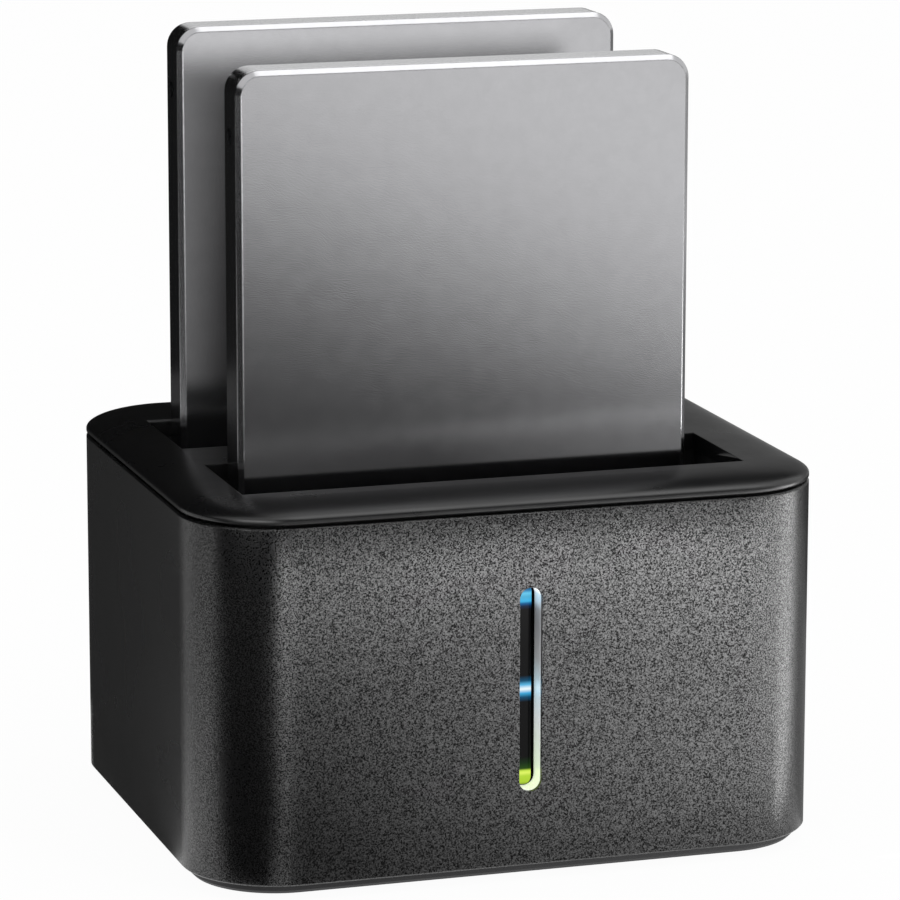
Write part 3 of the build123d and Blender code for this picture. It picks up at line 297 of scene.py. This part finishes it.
# %% [markdown]
# The drives' covers are aluminium, blasted with glass beads and then anodised
# in a natural grey. Beads leave overlapping dimples of about a fifth of a
# millimetre, so shallow that they only soften what the metal mirrors, and
# the etch before anodising leaves faint clouds a few millimetres wide. The
# bevel round the edge is cut after blasting, so its gloss differs a little.
# It lies in the front 0.75 mm of each cover, and a range of depths along Y
# marks it. Its own edges are worn round by tumbling.

# %% Blasted aluminium of the drive covers
FRONT_FACE_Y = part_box("front_drive_cover")[0].y
DRIVE_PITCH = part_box("rear_drive_cover")[0].y - FRONT_FACE_Y
DIMPLE_MM, DIMPLE_DEPTH_MM = 0.22, 0.005
CLOUD_MM = 3
DRIVE_EDGE_MM = 0.25
BEVEL_STARTS_MM, BEVEL_FULL_MM = 0.02, 0.10


def blasted_aluminium(name, face_y):
    """Bead-blasted anodised aluminium, with a cut bevel behind the plane face_y."""
    material, tree, shader = start_finish(name, "b2b2b4", Metallic=1.0)
    place = add(tree, "TexCoord").outputs["Object"]
    dimples = add(
        tree,
        "TexNoise",
        {"Scale": 1 / (DIMPLE_MM * MM), "Detail": 2.0, "Roughness": 0.6},
        {"Vector": place},
    ).outputs["Fac"]
    clouds = add(
        tree,
        "TexNoise",
        {"Scale": 1 / (CLOUD_MM * MM), "Detail": 4.0, "Roughness": 0.62},
        {"Vector": place},
    ).outputs["Fac"]
    cloudy = add(
        tree, "MapRange", {"From Min": NOISE_LOW, "From Max": NOISE_HIGH}, {"Value": clouds}
    ).outputs["Result"]
    depth = add(tree, "SeparateXYZ", links={"Vector": place}).outputs["Y"]
    on_bevel = add(
        tree,
        "MapRange",
        {
            "From Min": face_y + BEVEL_STARTS_MM * MM,
            "From Max": face_y + BEVEL_FULL_MM * MM,
        },
        {"Value": depth},
    ).outputs["Result"]
    on_face = add(
        tree, "Mix", {"data_type": "FLOAT", 2: 0.167, 3: 0.173}, {0: cloudy}
    ).outputs[0]
    gloss = add(tree, "Mix", {"data_type": "FLOAT", 3: 0.19}, {0: on_bevel, 2: on_face})
    colour = add(
        tree,
        "Mix",
        {"data_type": "RGBA", 6: linear("b0b0b2"), 7: linear("b4b4b6")},
        {0: cloudy},
    )
    edges = add(tree, "Bevel", {"Radius": DRIVE_EDGE_MM * MM})
    slopes = add(
        tree,
        "Bump",
        {"Strength": 1.0, "Distance": DIMPLE_DEPTH_MM * MM},
        {"Height": dimples, "Normal": edges.outputs["Normal"]},
    )
    feed(
        tree,
        shader,
        {
            "Base Color": colour.outputs[2],
            "Roughness": gloss.outputs[0],
            "Normal": slopes.outputs["Normal"],
        },
    )
    return material


front_aluminium = blasted_aluminium("blasted_aluminium_front", FRONT_FACE_Y)
rear_aluminium = blasted_aluminium("blasted_aluminium_rear", FRONT_FACE_Y + DRIVE_PITCH)
print("drives stand", round(DRIVE_PITCH / MM, 2), "mm apart")

# %% [markdown]
# The trays behind these covers are cast aluminium, anodised in a duller grey.
# Screws, contacts and port shells are plated, and carry fine scuffs from
# being pushed and handled. One function makes these metals, which differ in
# colour, in the size of the marks and in the range of their gloss. The
# capacitors' cans are drawn through a die, so their lines run along them.

# %% Cast, plated and drawn metals
def marked_metal(name, colour, mark_mm, low, high, depth_mm):
    """Metal whose gloss wanders from low to high in marks mark_mm wide."""
    material, tree, shader = start_finish(name, colour, Metallic=1.0)
    place = add(tree, "TexCoord").outputs["Object"]
    marks = add(
        tree,
        "TexNoise",
        {"Scale": 1 / (mark_mm * MM), "Detail": 4.0, "Roughness": 0.65},
        {"Vector": place},
    ).outputs["Fac"]
    gloss = add(
        tree,
        "MapRange",
        {"From Min": NOISE_LOW, "From Max": NOISE_HIGH, "To Min": low, "To Max": high},
        {"Value": marks},
    )
    slopes = add(
        tree, "Bump", {"Strength": 1.0, "Distance": depth_mm * MM}, {"Height": marks}
    )
    feed(
        tree,
        shader,
        {"Roughness": gloss.outputs["Result"], "Normal": slopes.outputs["Normal"]},
    )
    return material


tray_aluminium = marked_metal(
    "grey_anodised_aluminium", "9c9d9f", 0.4, 0.18, 0.24, 0.004
)
nickel = marked_metal("nickel_plated_steel", "b9b7b2", 0.6, 0.24, 0.40, 0.003)
gold = marked_metal("gold_flash", "e3b95a", 0.3, 0.20, 0.34, 0.002)

LINE_MM, LINE_DEPTH_MM = 0.2, 0.003
LINE_STRETCH = 0.05
drawn_aluminium, tree, shader = start_finish(
    "drawn_aluminium", "c9cacc", Metallic=1.0, Roughness=0.28
)
place = add(tree, "TexCoord").outputs["Object"]
stretched = add(tree, "Mapping", {"Scale": (1.0, 1.0, LINE_STRETCH)}, {"Vector": place})
lines = add(
    tree,
    "TexNoise",
    {"Scale": 1 / (LINE_MM * MM), "Detail": 2.0},
    {"Vector": stretched.outputs["Vector"]},
)
slopes = add(
    tree,
    "Bump",
    {"Strength": 1.0, "Distance": LINE_DEPTH_MM * MM},
    {"Height": lines.outputs["Fac"]},
)
feed(tree, shader, {"Normal": slopes.outputs["Normal"]})
print("cast, plated and drawn metals made")

# %% [markdown]
# The boards are glass fibre under green solder mask. Copper tracks below the
# mask lighten it a little and lift it by a few hundredths of a millimetre.
# Two sets of bands, broken up by a coarse noise, stand for the tracks.

# %% Circuit boards
TRACK_PITCH_MM = 1.27
TRACK_DEPTH_MM = 0.03
TRACK_AREA_MM = 9
AREA_LOW, AREA_HIGH = 0.48, 0.52
TRACK_LOW, TRACK_HIGH = 0.70, 0.80

circuit_board, tree, shader = start_finish(
    "solder_masked_board", "14301f", Roughness=0.32, IOR=1.5
)
place = add(tree, "TexCoord").outputs["Object"]
bands = []
for direction in ("X", "Y"):
    bands.append(
        add(
            tree,
            "TexWave",
            {
                "bands_direction": direction,
                "Scale": math.pi / (10 * TRACK_PITCH_MM * MM),
                "Distortion": 0.0,
            },
            {"Vector": place},
        ).outputs["Fac"]
    )
areas = add(
    tree, "TexNoise", {"Scale": 1 / (TRACK_AREA_MM * MM), "Detail": 1.0}, {"Vector": place}
)
pick = add(
    tree,
    "MapRange",
    {"From Min": AREA_LOW, "From Max": AREA_HIGH},
    {"Value": areas.outputs["Fac"]},
)
chosen = add(
    tree,
    "Mix",
    {"data_type": "FLOAT"},
    {0: pick.outputs["Result"], 2: bands[0], 3: bands[1]},
)
track = add(
    tree,
    "MapRange",
    {"From Min": TRACK_LOW, "From Max": TRACK_HIGH},
    {"Value": chosen.outputs[0]},
).outputs["Result"]
colour = add(
    tree, "Mix", {"data_type": "RGBA", 6: linear("123020"), 7: linear("1d4a30")}, {0: track}
)
slopes = add(
    tree, "Bump", {"Strength": 1.0, "Distance": TRACK_DEPTH_MM * MM}, {"Height": track}
)
feed(tree, shader, {"Base Color": colour.outputs[2], "Normal": slopes.outputs["Normal"]})
print("tracks repeat every", TRACK_PITCH_MM, "mm")

# %% [markdown]
# Three lamps stand behind the light strip's lens: two blue, one green. Light
# guides carry each lamp's light straight to the front, so it shows as a short
# block across the lens, with a fade where light leaks past the block. A ramp
# of colours over the height, with its stops written in millimetres above the
# table, draws that. The recess round the lens is plated in silver, and its
# wall has painted light: it glows by a ramp over the height, white at the top,
# cool beside the middle lamp and faintly green at the bottom, standing in for
# the lamps' spill and the reflections on the plating.

# %% Light strip
def colours_over_height(tree, stops):
    """Colour socket that follows Z; stops are (height in mm, hex code)."""
    low, high = stops[0][0] * MM, stops[-1][0] * MM
    place = add(tree, "TexCoord")
    parts = add(tree, "SeparateXYZ", links={"Vector": place.outputs["Object"]})
    way = add(
        tree,
        "MapRange",
        {"From Min": low, "From Max": high},
        {"Value": parts.outputs["Z"]},
    )
    ramp = add(tree, "ValToRGB", links={"Fac": way.outputs["Result"]})
    points = ramp.color_ramp.elements
    points[0].color, points[1].color = linear(stops[0][1]), linear(stops[-1][1])
    for z, code in stops[1:-1]:
        points.new((z * MM - low) / (high - low)).color = linear(code)
    return ramp.outputs["Color"]


# millimetres above the table, and the colour there
GREEN_BLOCK = [
    (13.6, "4c5b28"),
    (14.1, "aed234"),
    (15.0, "b4d83c"),
    (15.5, "e0f566"),
    (15.8, "c8e94c"),
]
GREEN_FADE = [(16.1, "24480a"), (17.0, "0c2808"), (17.9, "000000")]
MIDDLE_GLOW = [
    (26.3, "000000"),
    (27.0, "04486a"),
    (27.6, "3ba9dd"),
    (28.2, "f2fbfe"),
    (28.8, "5ab8e6"),
    (29.4, "054a6c"),
    (30.2, "000000"),
]
BLUE_BLOCK = [
    (40.2, "000000"),
    (40.7, "06203f"),
    (41.1, "0a5c96"),
    (41.4, "3eb4e6"),
    (42.1, "4fb0d6"),
    (42.6, "66c9ed"),
    (43.0, "2f7cb0"),
    (43.6, "000000"),
]

smoked_lens, tree, shader = start_finish(
    "smoked_acrylic",
    "060607",
    Roughness=0.08,
    IOR=1.49,
    Specular_IOR_Level=0.07,
    Emission_Strength=1.0,
)
glow = colours_over_height(tree, GREEN_BLOCK + GREEN_FADE + MIDDLE_GLOW + BLUE_BLOCK)
feed(tree, shader, {"Emission Color": glow})
print("lens is lit by", [name for name in nodes if name.endswith("_led")])

# %% [markdown]
# Plating follows every ripple of the moulding under it, so it gets a soft
# waviness. It is a metal layer, yet its satin tone scatters some light
# evenly, which is why it isn't a full metal here.

# %% Silver plating of the recess
# painted light and painted reflections: the recess wall glows with these colours over the
# height, though it is no lamp
RECESS_PAINTED_LIGHT = [
    (13.5, "d0d4c4"),
    (17.0, "c8d8b8"),
    (24.0, "bcc0c0"),
    (28.2, "a0bcc4"),
    (33.0, "646565"),
    (38.0, "1e1e1e"),
    (40.3, "0e0e0e"),
    (41.3, "8a9ca4"),
    (42.6, "a4bcc6"),
    (43.2, "ffffff"),
    (44.2, "ffffff"),
]

RIPPLE_MM, RIPPLE_DEPTH_MM = 2, 0.01

silver_plating, tree, shader = start_finish(
    "satin_silver_plating", "dcdddf", Metallic=0.35, Roughness=0.35, Emission_Strength=0.75
)
place = add(tree, "TexCoord").outputs["Object"]
ripple = add(
    tree, "TexNoise", {"Scale": 1 / (RIPPLE_MM * MM), "Detail": 1.0}, {"Vector": place}
)
slopes = add(
    tree,
    "Bump",
    {"Strength": 1.0, "Distance": RIPPLE_DEPTH_MM * MM},
    {"Height": ripple.outputs["Fac"]},
)
painted_spill_light = colours_over_height(tree, RECESS_PAINTED_LIGHT)
feed(tree, shader, {"Normal": slopes.outputs["Normal"], "Emission Color": painted_spill_light})
print("recess glows from", RECESS_PAINTED_LIGHT[0][0], "to", RECESS_PAINTED_LIGHT[-1][0], "mm")

# %% [markdown]
# The lamps themselves are tiny blocks of clear epoxy with a coloured glow.
# They hide behind the lens, and show only where the dock is opened.

# %% Lit epoxy of the lamps
GLOW_MM = 0.5


def lit_epoxy(name, colour, glow_colour):
    """Epoxy of a lamp that is switched on."""
    material, tree, shader = start_finish(
        name, colour, Roughness=0.2, IOR=1.5, Emission_Strength=1.5
    )
    place = add(tree, "TexCoord").outputs["Object"]
    cells = add(
        tree, "TexNoise", {"Scale": 1 / (GLOW_MM * MM), "Detail": 1.0}, {"Vector": place}
    )
    bright = add(
        tree,
        "MapRange",
        {"From Min": NOISE_LOW, "From Max": NOISE_HIGH},
        {"Value": cells.outputs["Fac"]},
    )
    glow = add(
        tree,
        "Mix",
        {"data_type": "RGBA", 6: linear(glow_colour), 7: linear("ffffff")},
        {0: bright.outputs["Result"]},
    )
    feed(tree, shader, {"Emission Color": glow.outputs[2]})
    return material


blue_epoxy = lit_epoxy("lit_blue_epoxy", "7fb2d8", "2288dd")
green_epoxy = lit_epoxy("lit_green_epoxy", "a9c96a", "8cd01c")
print("lamp epoxies made")

# %% [markdown]
# Each node of the frame now gets its finish. A table from finish to nodes is
# easier to check than a list of single lines, and a node that was forgotten
# is found at once.

# %% Give every node its finish
FINISHES = [
    (grained_abs, ["outer_shell"]),
    (satin_abs, ["top_cover", "power_button"]),
    (plain_abs, ["base_plate", "bay_cradle"]),
    (light_trap, ["light_holder"]),
    (foot_rubber, ["rubber_feet"]),
    (silver_plating, ["light_bezel"]),
    (smoked_lens, ["light_lens"]),
    (blue_epoxy, ["upper_led", "middle_led"]),
    (green_epoxy, ["lower_led"]),
    (front_aluminium, ["front_drive_cover"]),
    (rear_aluminium, ["rear_drive_cover"]),
    (tray_aluminium, ["front_drive_case", "rear_drive_case"]),
    (circuit_board, ["main_board", "led_board", "front_drive_board", "rear_drive_board"]),
    (
        chip_epoxy,
        [
            "bridge_chip",
            "memory_chip",
            "regulators",
            "front_drive_chips",
            "rear_drive_chips",
        ],
    ),
    (
        gold,
        [
            "front_socket_contacts",
            "rear_socket_contacts",
            "header_pin_row",
            "usb_contacts",
            "front_drive_contacts",
            "rear_drive_contacts",
        ],
    ),
    (
        nickel,
        [
            "case_screws",
            "cradle_screws",
            "board_screws",
            "front_drive_screws",
            "rear_drive_screws",
            "chip_leads",
            "crystal_can",
            "usb_shell",
            "jack_pin",
        ],
    ),
    (
        socket_nylon,
        [
            "front_socket",
            "rear_socket",
            "socket_riser",
            "led_header",
            "usb_insulator",
            "power_jack",
            "power_switch",
            "switch_plunger",
            "front_drive_plug",
            "rear_drive_plug",
        ],
    ),
    (ferrite, ["inductors"]),
    (drawn_aluminium, ["capacitors"]),
]

finished = set()
for material, names in FINISHES:
    for name in names:
        surfaces = nodes[name].data.materials
        surfaces.clear()
        surfaces.append(material)
        finished.add(name)
print("finished nodes:", len(finished), "left over:", sorted(set(nodes) - finished))

# %% [markdown]
# The floor is a pale sweep. To the camera, and in mirror and glass rays, it
# shows almost pure white, as in a catalogue picture, by mixing in a white of
# strength 1 for those rays only. What is left of the shaded floor keeps the
# dock's soft shadow.

# %% Floor
FLOOR_HALF = 3.0
FLOOR_LIFT = 0.96
FLOOR_GAP_MM = 0.02


def direct_rays(tree):
    """1 for camera, mirror and glass rays, 0 for the rays of soft light."""
    rays = add(tree, "LightPath").outputs
    seen = add(
        tree,
        "Math",
        {"operation": "ADD", "use_clamp": True},
        {0: rays["Is Camera Ray"], 1: rays["Is Glossy Ray"]},
    )
    return add(
        tree,
        "Math",
        {"operation": "ADD", "use_clamp": True},
        {0: seen.outputs["Value"], 1: rays["Is Transmission Ray"]},
    ).outputs["Value"]


floor_paint, tree, shader = start_finish("pale_sweep", "f0f0f0", Roughness=0.9)
lift = add(tree, "Math", {"operation": "MULTIPLY", 1: FLOOR_LIFT}, {0: direct_rays(tree)})
white = add(tree, "Emission", {"Color": (1, 1, 1, 1), "Strength": 1.0})
mixed = add(
    tree,
    "MixShader",
    links={
        0: lift.outputs["Value"],
        1: shader.outputs["BSDF"],
        2: white.outputs["Emission"],
    },
)
feed(tree, tree.nodes["Material Output"], {"Surface": mixed.outputs["Shader"]})

shape = bmesh.new()
bmesh.ops.create_grid(shape, x_segments=1, y_segments=1, size=FLOOR_HALF)
bmesh.ops.translate(shape, verts=shape.verts, vec=(0, 0, -FLOOR_GAP_MM * MM))
floor_mesh = bpy.data.meshes.new("floor")
shape.to_mesh(floor_mesh)
shape.free()
floor_mesh.materials.append(floor_paint)
floor = bpy.data.objects.new("floor", floor_mesh)
bpy.context.scene.collection.objects.link(floor)
print("floor is", 2 * FLOOR_HALF, "m wide")

# %% [markdown]
# The world is a white room to the camera, and to mirror and glass rays too,
# so that metal shows the backdrop that stands round it. For soft light it is
# a pale grey, so that together with the lamps a colour shows about as it is
# written.

# %% World
FILL = 0.8

world = bpy.data.worlds.new("white_room")
bpy.context.scene.world = world
world.use_nodes = True
tree = world.node_tree
fill = tree.nodes["Background"]
fill.inputs["Color"].default_value = (1, 1, 1, 1)
fill.inputs["Strength"].default_value = FILL
backdrop = add(tree, "Background", {"Color": (1, 1, 1, 1), "Strength": 1.0})
room = add(
    tree,
    "MixShader",
    links={
        0: direct_rays(tree),
        1: fill.outputs["Background"],
        2: backdrop.outputs["Background"],
    },
)
feed(tree, tree.nodes["World Output"], {"Surface": room.outputs["Shader"]})
print("fill light:", FILL)

# %% [markdown]
# Two soft boxes light the dock, as in a studio: a broad one at the front
# right, and one high above for the bevels of the drives and the crowned rim.
# Broad and soft means that metal and plastic show no hard spot of them.

# %% Soft boxes
BOX_AIM = Vector((0.0, 0.0, 0.05))


def soft_box(name, azimuth, elevation, distance, size, radiance):
    """Area lamp that faces the dock; azimuth 0 is in front, positive to the right."""
    turn, rise = math.radians(azimuth), math.radians(elevation)
    direction = Vector(
        (
            math.sin(turn) * math.cos(rise),
            -math.cos(turn) * math.cos(rise),
            math.sin(rise),
        )
    )
    lamp = bpy.data.lights.new(name, "AREA")
    lamp.shape = "RECTANGLE"
    lamp.size, lamp.size_y = size
    lamp.energy = radiance * math.pi * size[0] * size[1]
    holder = bpy.data.objects.new(name, lamp)
    holder.location = BOX_AIM + direction * distance
    holder.rotation_euler = direction.to_track_quat("Z", "Y").to_euler()
    holder.visible_camera = False
    bpy.context.scene.collection.objects.link(holder)


# name, azimuth and elevation in degrees, distance, size, radiance
SOFT_BOXES = [
    ("front_box", 50, 42, 1.0, (0.7, 0.7), 0.7),
    ("top_box", 56, 69, 0.80, (0.50, 0.45), 1.3),
]
for settings in SOFT_BOXES:
    soft_box(*settings)
print("soft boxes:", [settings[0] for settings in SOFT_BOXES])

# %% [markdown]
# Black plastic has next to no colour of its own. What the eye reads as its
# shape is the room mirrored in it, so a white room alone would turn it grey
# from all sides. So glowing boards stand and lie round the dock as painted
# reflections: black ones that paint shade, and bright ones that paint a
# highlight on a corner or an edge. They are seen in reflections only, and no
# soft light or shadow meets them.
# Each is a flat sheet of three to five corners. Its brightness is even, or
# runs evenly from a start to an end point. A board can be clear from below,
# and the surface under it then mirrors the room past it. Places are in
# metres. They follow from the camera: each board lies where that part of
# the surface mirrors it.

# %% Make a board
BOARD_Z = 0.4 * MM
BLACK = 0.01


def board(name, corners, low, high=None, start=None, end=None, from_above=False):
    """Flat board that only reflections see; it may be graded from start to end."""
    paint = bpy.data.materials.new(name)
    paint.use_nodes = True
    tree = paint.node_tree
    glow = add(tree, "Emission", {"Color": (1, 1, 1, 1), "Strength": low})
    if high is not None:
        way = Vector(end) - Vector(start)
        shift = Vector(start).dot(way) / way.length_squared
        place = add(tree, "TexCoord")
        along = add(
            tree,
            "VectorMath",
            {"operation": "DOT_PRODUCT", 1: way / way.length_squared},
            {0: place.outputs["Object"]},
        )
        grade = add(
            tree,
            "MapRange",
            {"From Min": shift, "From Max": shift + 1, "To Min": low, "To Max": high},
            {"Value": along.outputs["Value"]},
        )
        feed(tree, glow, {"Strength": grade.outputs["Result"]})
    surface = glow.outputs["Emission"]
    if from_above:
        under = add(tree, "NewGeometry").outputs["Backfacing"]
        clear = add(tree, "BsdfTransparent").outputs["BSDF"]
        surface = add(tree, "MixShader", links={0: under, 1: surface, 2: clear}).outputs[0]
    feed(tree, tree.nodes["Material Output"], {"Surface": surface})
    shape = bmesh.new()
    shape.faces.new([shape.verts.new(corner) for corner in corners])
    mesh = bpy.data.meshes.new(name)
    shape.to_mesh(mesh)
    shape.free()
    mesh.materials.append(paint)
    sheet = bpy.data.objects.new(name, mesh)
    sheet.visible_camera = False
    sheet.visible_diffuse = False
    sheet.visible_transmission = False
    sheet.visible_volume_scatter = False
    sheet.visible_shadow = False
    bpy.context.scene.collection.objects.link(sheet)


def lying(*points):
    """Corners of a board that lies on the floor."""
    return [(x, y, BOARD_Z) for x, y in points]


def standing(start, end, z_from, z_to):
    """Corners of an upright board over the floor line from start to end."""
    return [(*start, z_from), (*end, z_from), (*end, z_to), (*start, z_to)]


print("boards lie", BOARD_Z / MM, "mm above the floor")

# %% [markdown]
# Boards for the case. A low graded one stands right in front of it: its
# shades fall on the flat front only, because what the drives mirror passes
# above it. Beside it are a stripe of light for the start of the flat front
# and a dark wedge. Bright and duller sheets on the floor make the highlights
# of the two rounded corners.

# %% Boards for the case
FRONT_LEFT, FRONT_RIGHT = (-0.0345, -0.065), (0.080, -0.065)
STRIPE_LEFT = (-0.0417, -0.065)
FRONT_MIDDLE_Z, FRONT_TOP_Z = 0.027, 0.0465

board(
    "front_board_low",
    standing(FRONT_LEFT, FRONT_RIGHT, 0.0, FRONT_MIDDLE_Z),
    low=0.0,
    high=6.0,
    start=(-0.0342, 0, 0.0040),
    end=(0.0446, 0, 0.0872),
)
board(
    "front_board_high",
    standing(FRONT_LEFT, FRONT_RIGHT, FRONT_MIDDLE_Z, FRONT_TOP_Z),
    low=0.0,
    high=9.0,
    start=(-0.0584, 0, 0.0270),
    end=(-0.0406, 0, 0.0913),
)
board(
    "near_floor",
    lying((-0.036, -0.046), (0.052, -0.046), (0.075, -0.064), (-0.034, -0.064)),
    low=0.3,
    high=2.2,
    start=(-0.030, 0, 0),
    end=(0.080, 0, 0),
)
board(
    "edge_board",
    standing(STRIPE_LEFT, FRONT_LEFT, 0.0, FRONT_TOP_Z),
    low=1.2,
    high=4.6,
    start=(0, 0, 0.004),
    end=(0, 0, 0.044),
)
board(
    "wedge",
    lying((-0.041, -0.046), (-0.33, -1.30), (-1.40, -0.04), (-0.052, -0.040)),
    BLACK,
)
board("corner_board", lying((0.053, -0.046), (0.45, 0.005), (0.45, -0.220)), 6.5)
board(
    "right_floor",
    lying((0.0485, -0.03), (0.45, 0.012), (0.45, 0.40), (0.0485, 0.40)),
    0.36,
)
board(
    "left_grey",
    lying((-0.050, -0.036), (-1.40, -0.036), (-0.50, 0.60), (-0.105, 0.076)),
    low=1.25,
    high=0.66,
    start=(0, -0.020, 0),
    end=(0, 0.045, 0),
)
board("left_floor", lying((-0.0485, -0.02), (-0.0485, 0.075), (-0.105, 0.075)), 0.06)
print("boards of the case placed")

# %% [markdown]
# Boards for the drives, all painted reflections. A graded sheet on the floor
# in front paints the drives' faces dark at the left and pale at the right. A
# small bright board at the front left, above the case, paints the fine line
# along the drives' left edges. Two strips standing in the gap between the
# drives paint shade into the face of the rear one. Two sheets over the deck
# and the slot keep their black out of the front drive's foot. They are clear
# from below, so the deck itself doesn't mirror them.

# %% Boards for the drives
GAP_LEFT, GAP_RIGHT = (-0.036, -0.0085), (0.033, -0.0085)
GAP_MIDDLE_Z = 0.109
OVER_DECK_Z = 0.0585

board(
    "far_floor",
    lying(
        (-0.047, -0.067), (0.098, -0.067), (0.40, -0.347), (0.40, -1.30), (-0.33, -1.30)
    ),
    low=0.02,
    high=1.25,
    start=(0.0779, -0.5054, 0),
    end=(0.2129, -0.5309, 0),
)
board(
    "edge_light",
    standing((-0.100, -0.070), (-0.055, -0.105), 0.046, 0.110),
    low=0.8,
    high=4.0,
    start=(0, 0, 0.046),
    end=(0, 0, 0.100),
)
for name, front, back in (
    ("deck_sheet", (-0.0415, OVER_DECK_Z), (-0.0305, OVER_DECK_Z)),
    ("slot_sheet", (-0.0305, OVER_DECK_Z), (-0.0200, 0.0570)),
):
    board(
        name,
        [(-0.036, *front), (0.045, *front), (0.045, *back), (-0.036, *back)],
        low=0.08,
        high=0.36,
        start=(0, 0, 0),
        end=(0.0496, -0.0102, 0),
        from_above=True,
    )
# painted shade: these two strips stand in the gap between the drives, where there is only
# shade, and paint it into the rear drive's face
board(
    "gap_low",
    standing(GAP_LEFT, GAP_RIGHT, 0.060, GAP_MIDDLE_Z),
    low=0.03,
    high=0.50,
    start=(-0.0212, 0, 0.0870),
    end=(-0.0358, 0, 0.0881),
)
board(
    "gap_high",
    standing(GAP_LEFT, GAP_RIGHT, GAP_MIDDLE_Z, 0.117),
    low=0.19,
    high=1.35,
    start=(0, 0, GAP_MIDDLE_Z),
    end=(0, 0, 0.115),
)
print("boards of the drives placed")

# %% [markdown]
# Boards for the deck and the sides. The crowned top mirrors what stands right
# behind the dock, where a low bright strip lights its right rim, and a black
# room at the camera's side and at the left keeps the sides of case and
# drives dark.

# %% Boards behind and around
BEHIND_Y = 0.075
FAR_FRONT_Y = -1.4
RIM_Z, BACK_TOP_Z = 0.055, 0.124

for name, x_from, x_to, y, z_from, z_to, level in (
    ("black_back", -0.11, 0.02, BEHIND_Y, RIM_Z, BACK_TOP_Z, BLACK),
    ("grey_back", 0.02, 0.30, BEHIND_Y, RIM_Z, BACK_TOP_Z, 0.24),
    ("dark_back", -0.11, 0.30, BEHIND_Y, 0.0, RIM_Z, 0.06),
    ("rim_back", 0.050, 0.30, 0.074, 0.044, 0.058, 0.7),
    ("black_behind_left", -0.80, -0.03, 0.078, RIM_Z, 0.80, BLACK),
    ("black_front", -2.5, -0.45, FAR_FRONT_Y, 0.0, 0.7, BLACK),
    ("black_front_right", -0.45, 2.5, FAR_FRONT_Y, 0.30, 2.5, 0.08),
    ("black_high", -1.2, 1.2, 0.9, 0.45, 2.5, BLACK),
):
    board(name, standing((x_from, y), (x_to, y), z_from, z_to), level)
board("black_left", standing((-1.5, FAR_FRONT_Y), (-1.5, 0.8), 0.0, 0.7), BLACK)
print("boards behind and around placed")

# %% [markdown]
# Last, the script ends.

# %% End
print("end of the script")
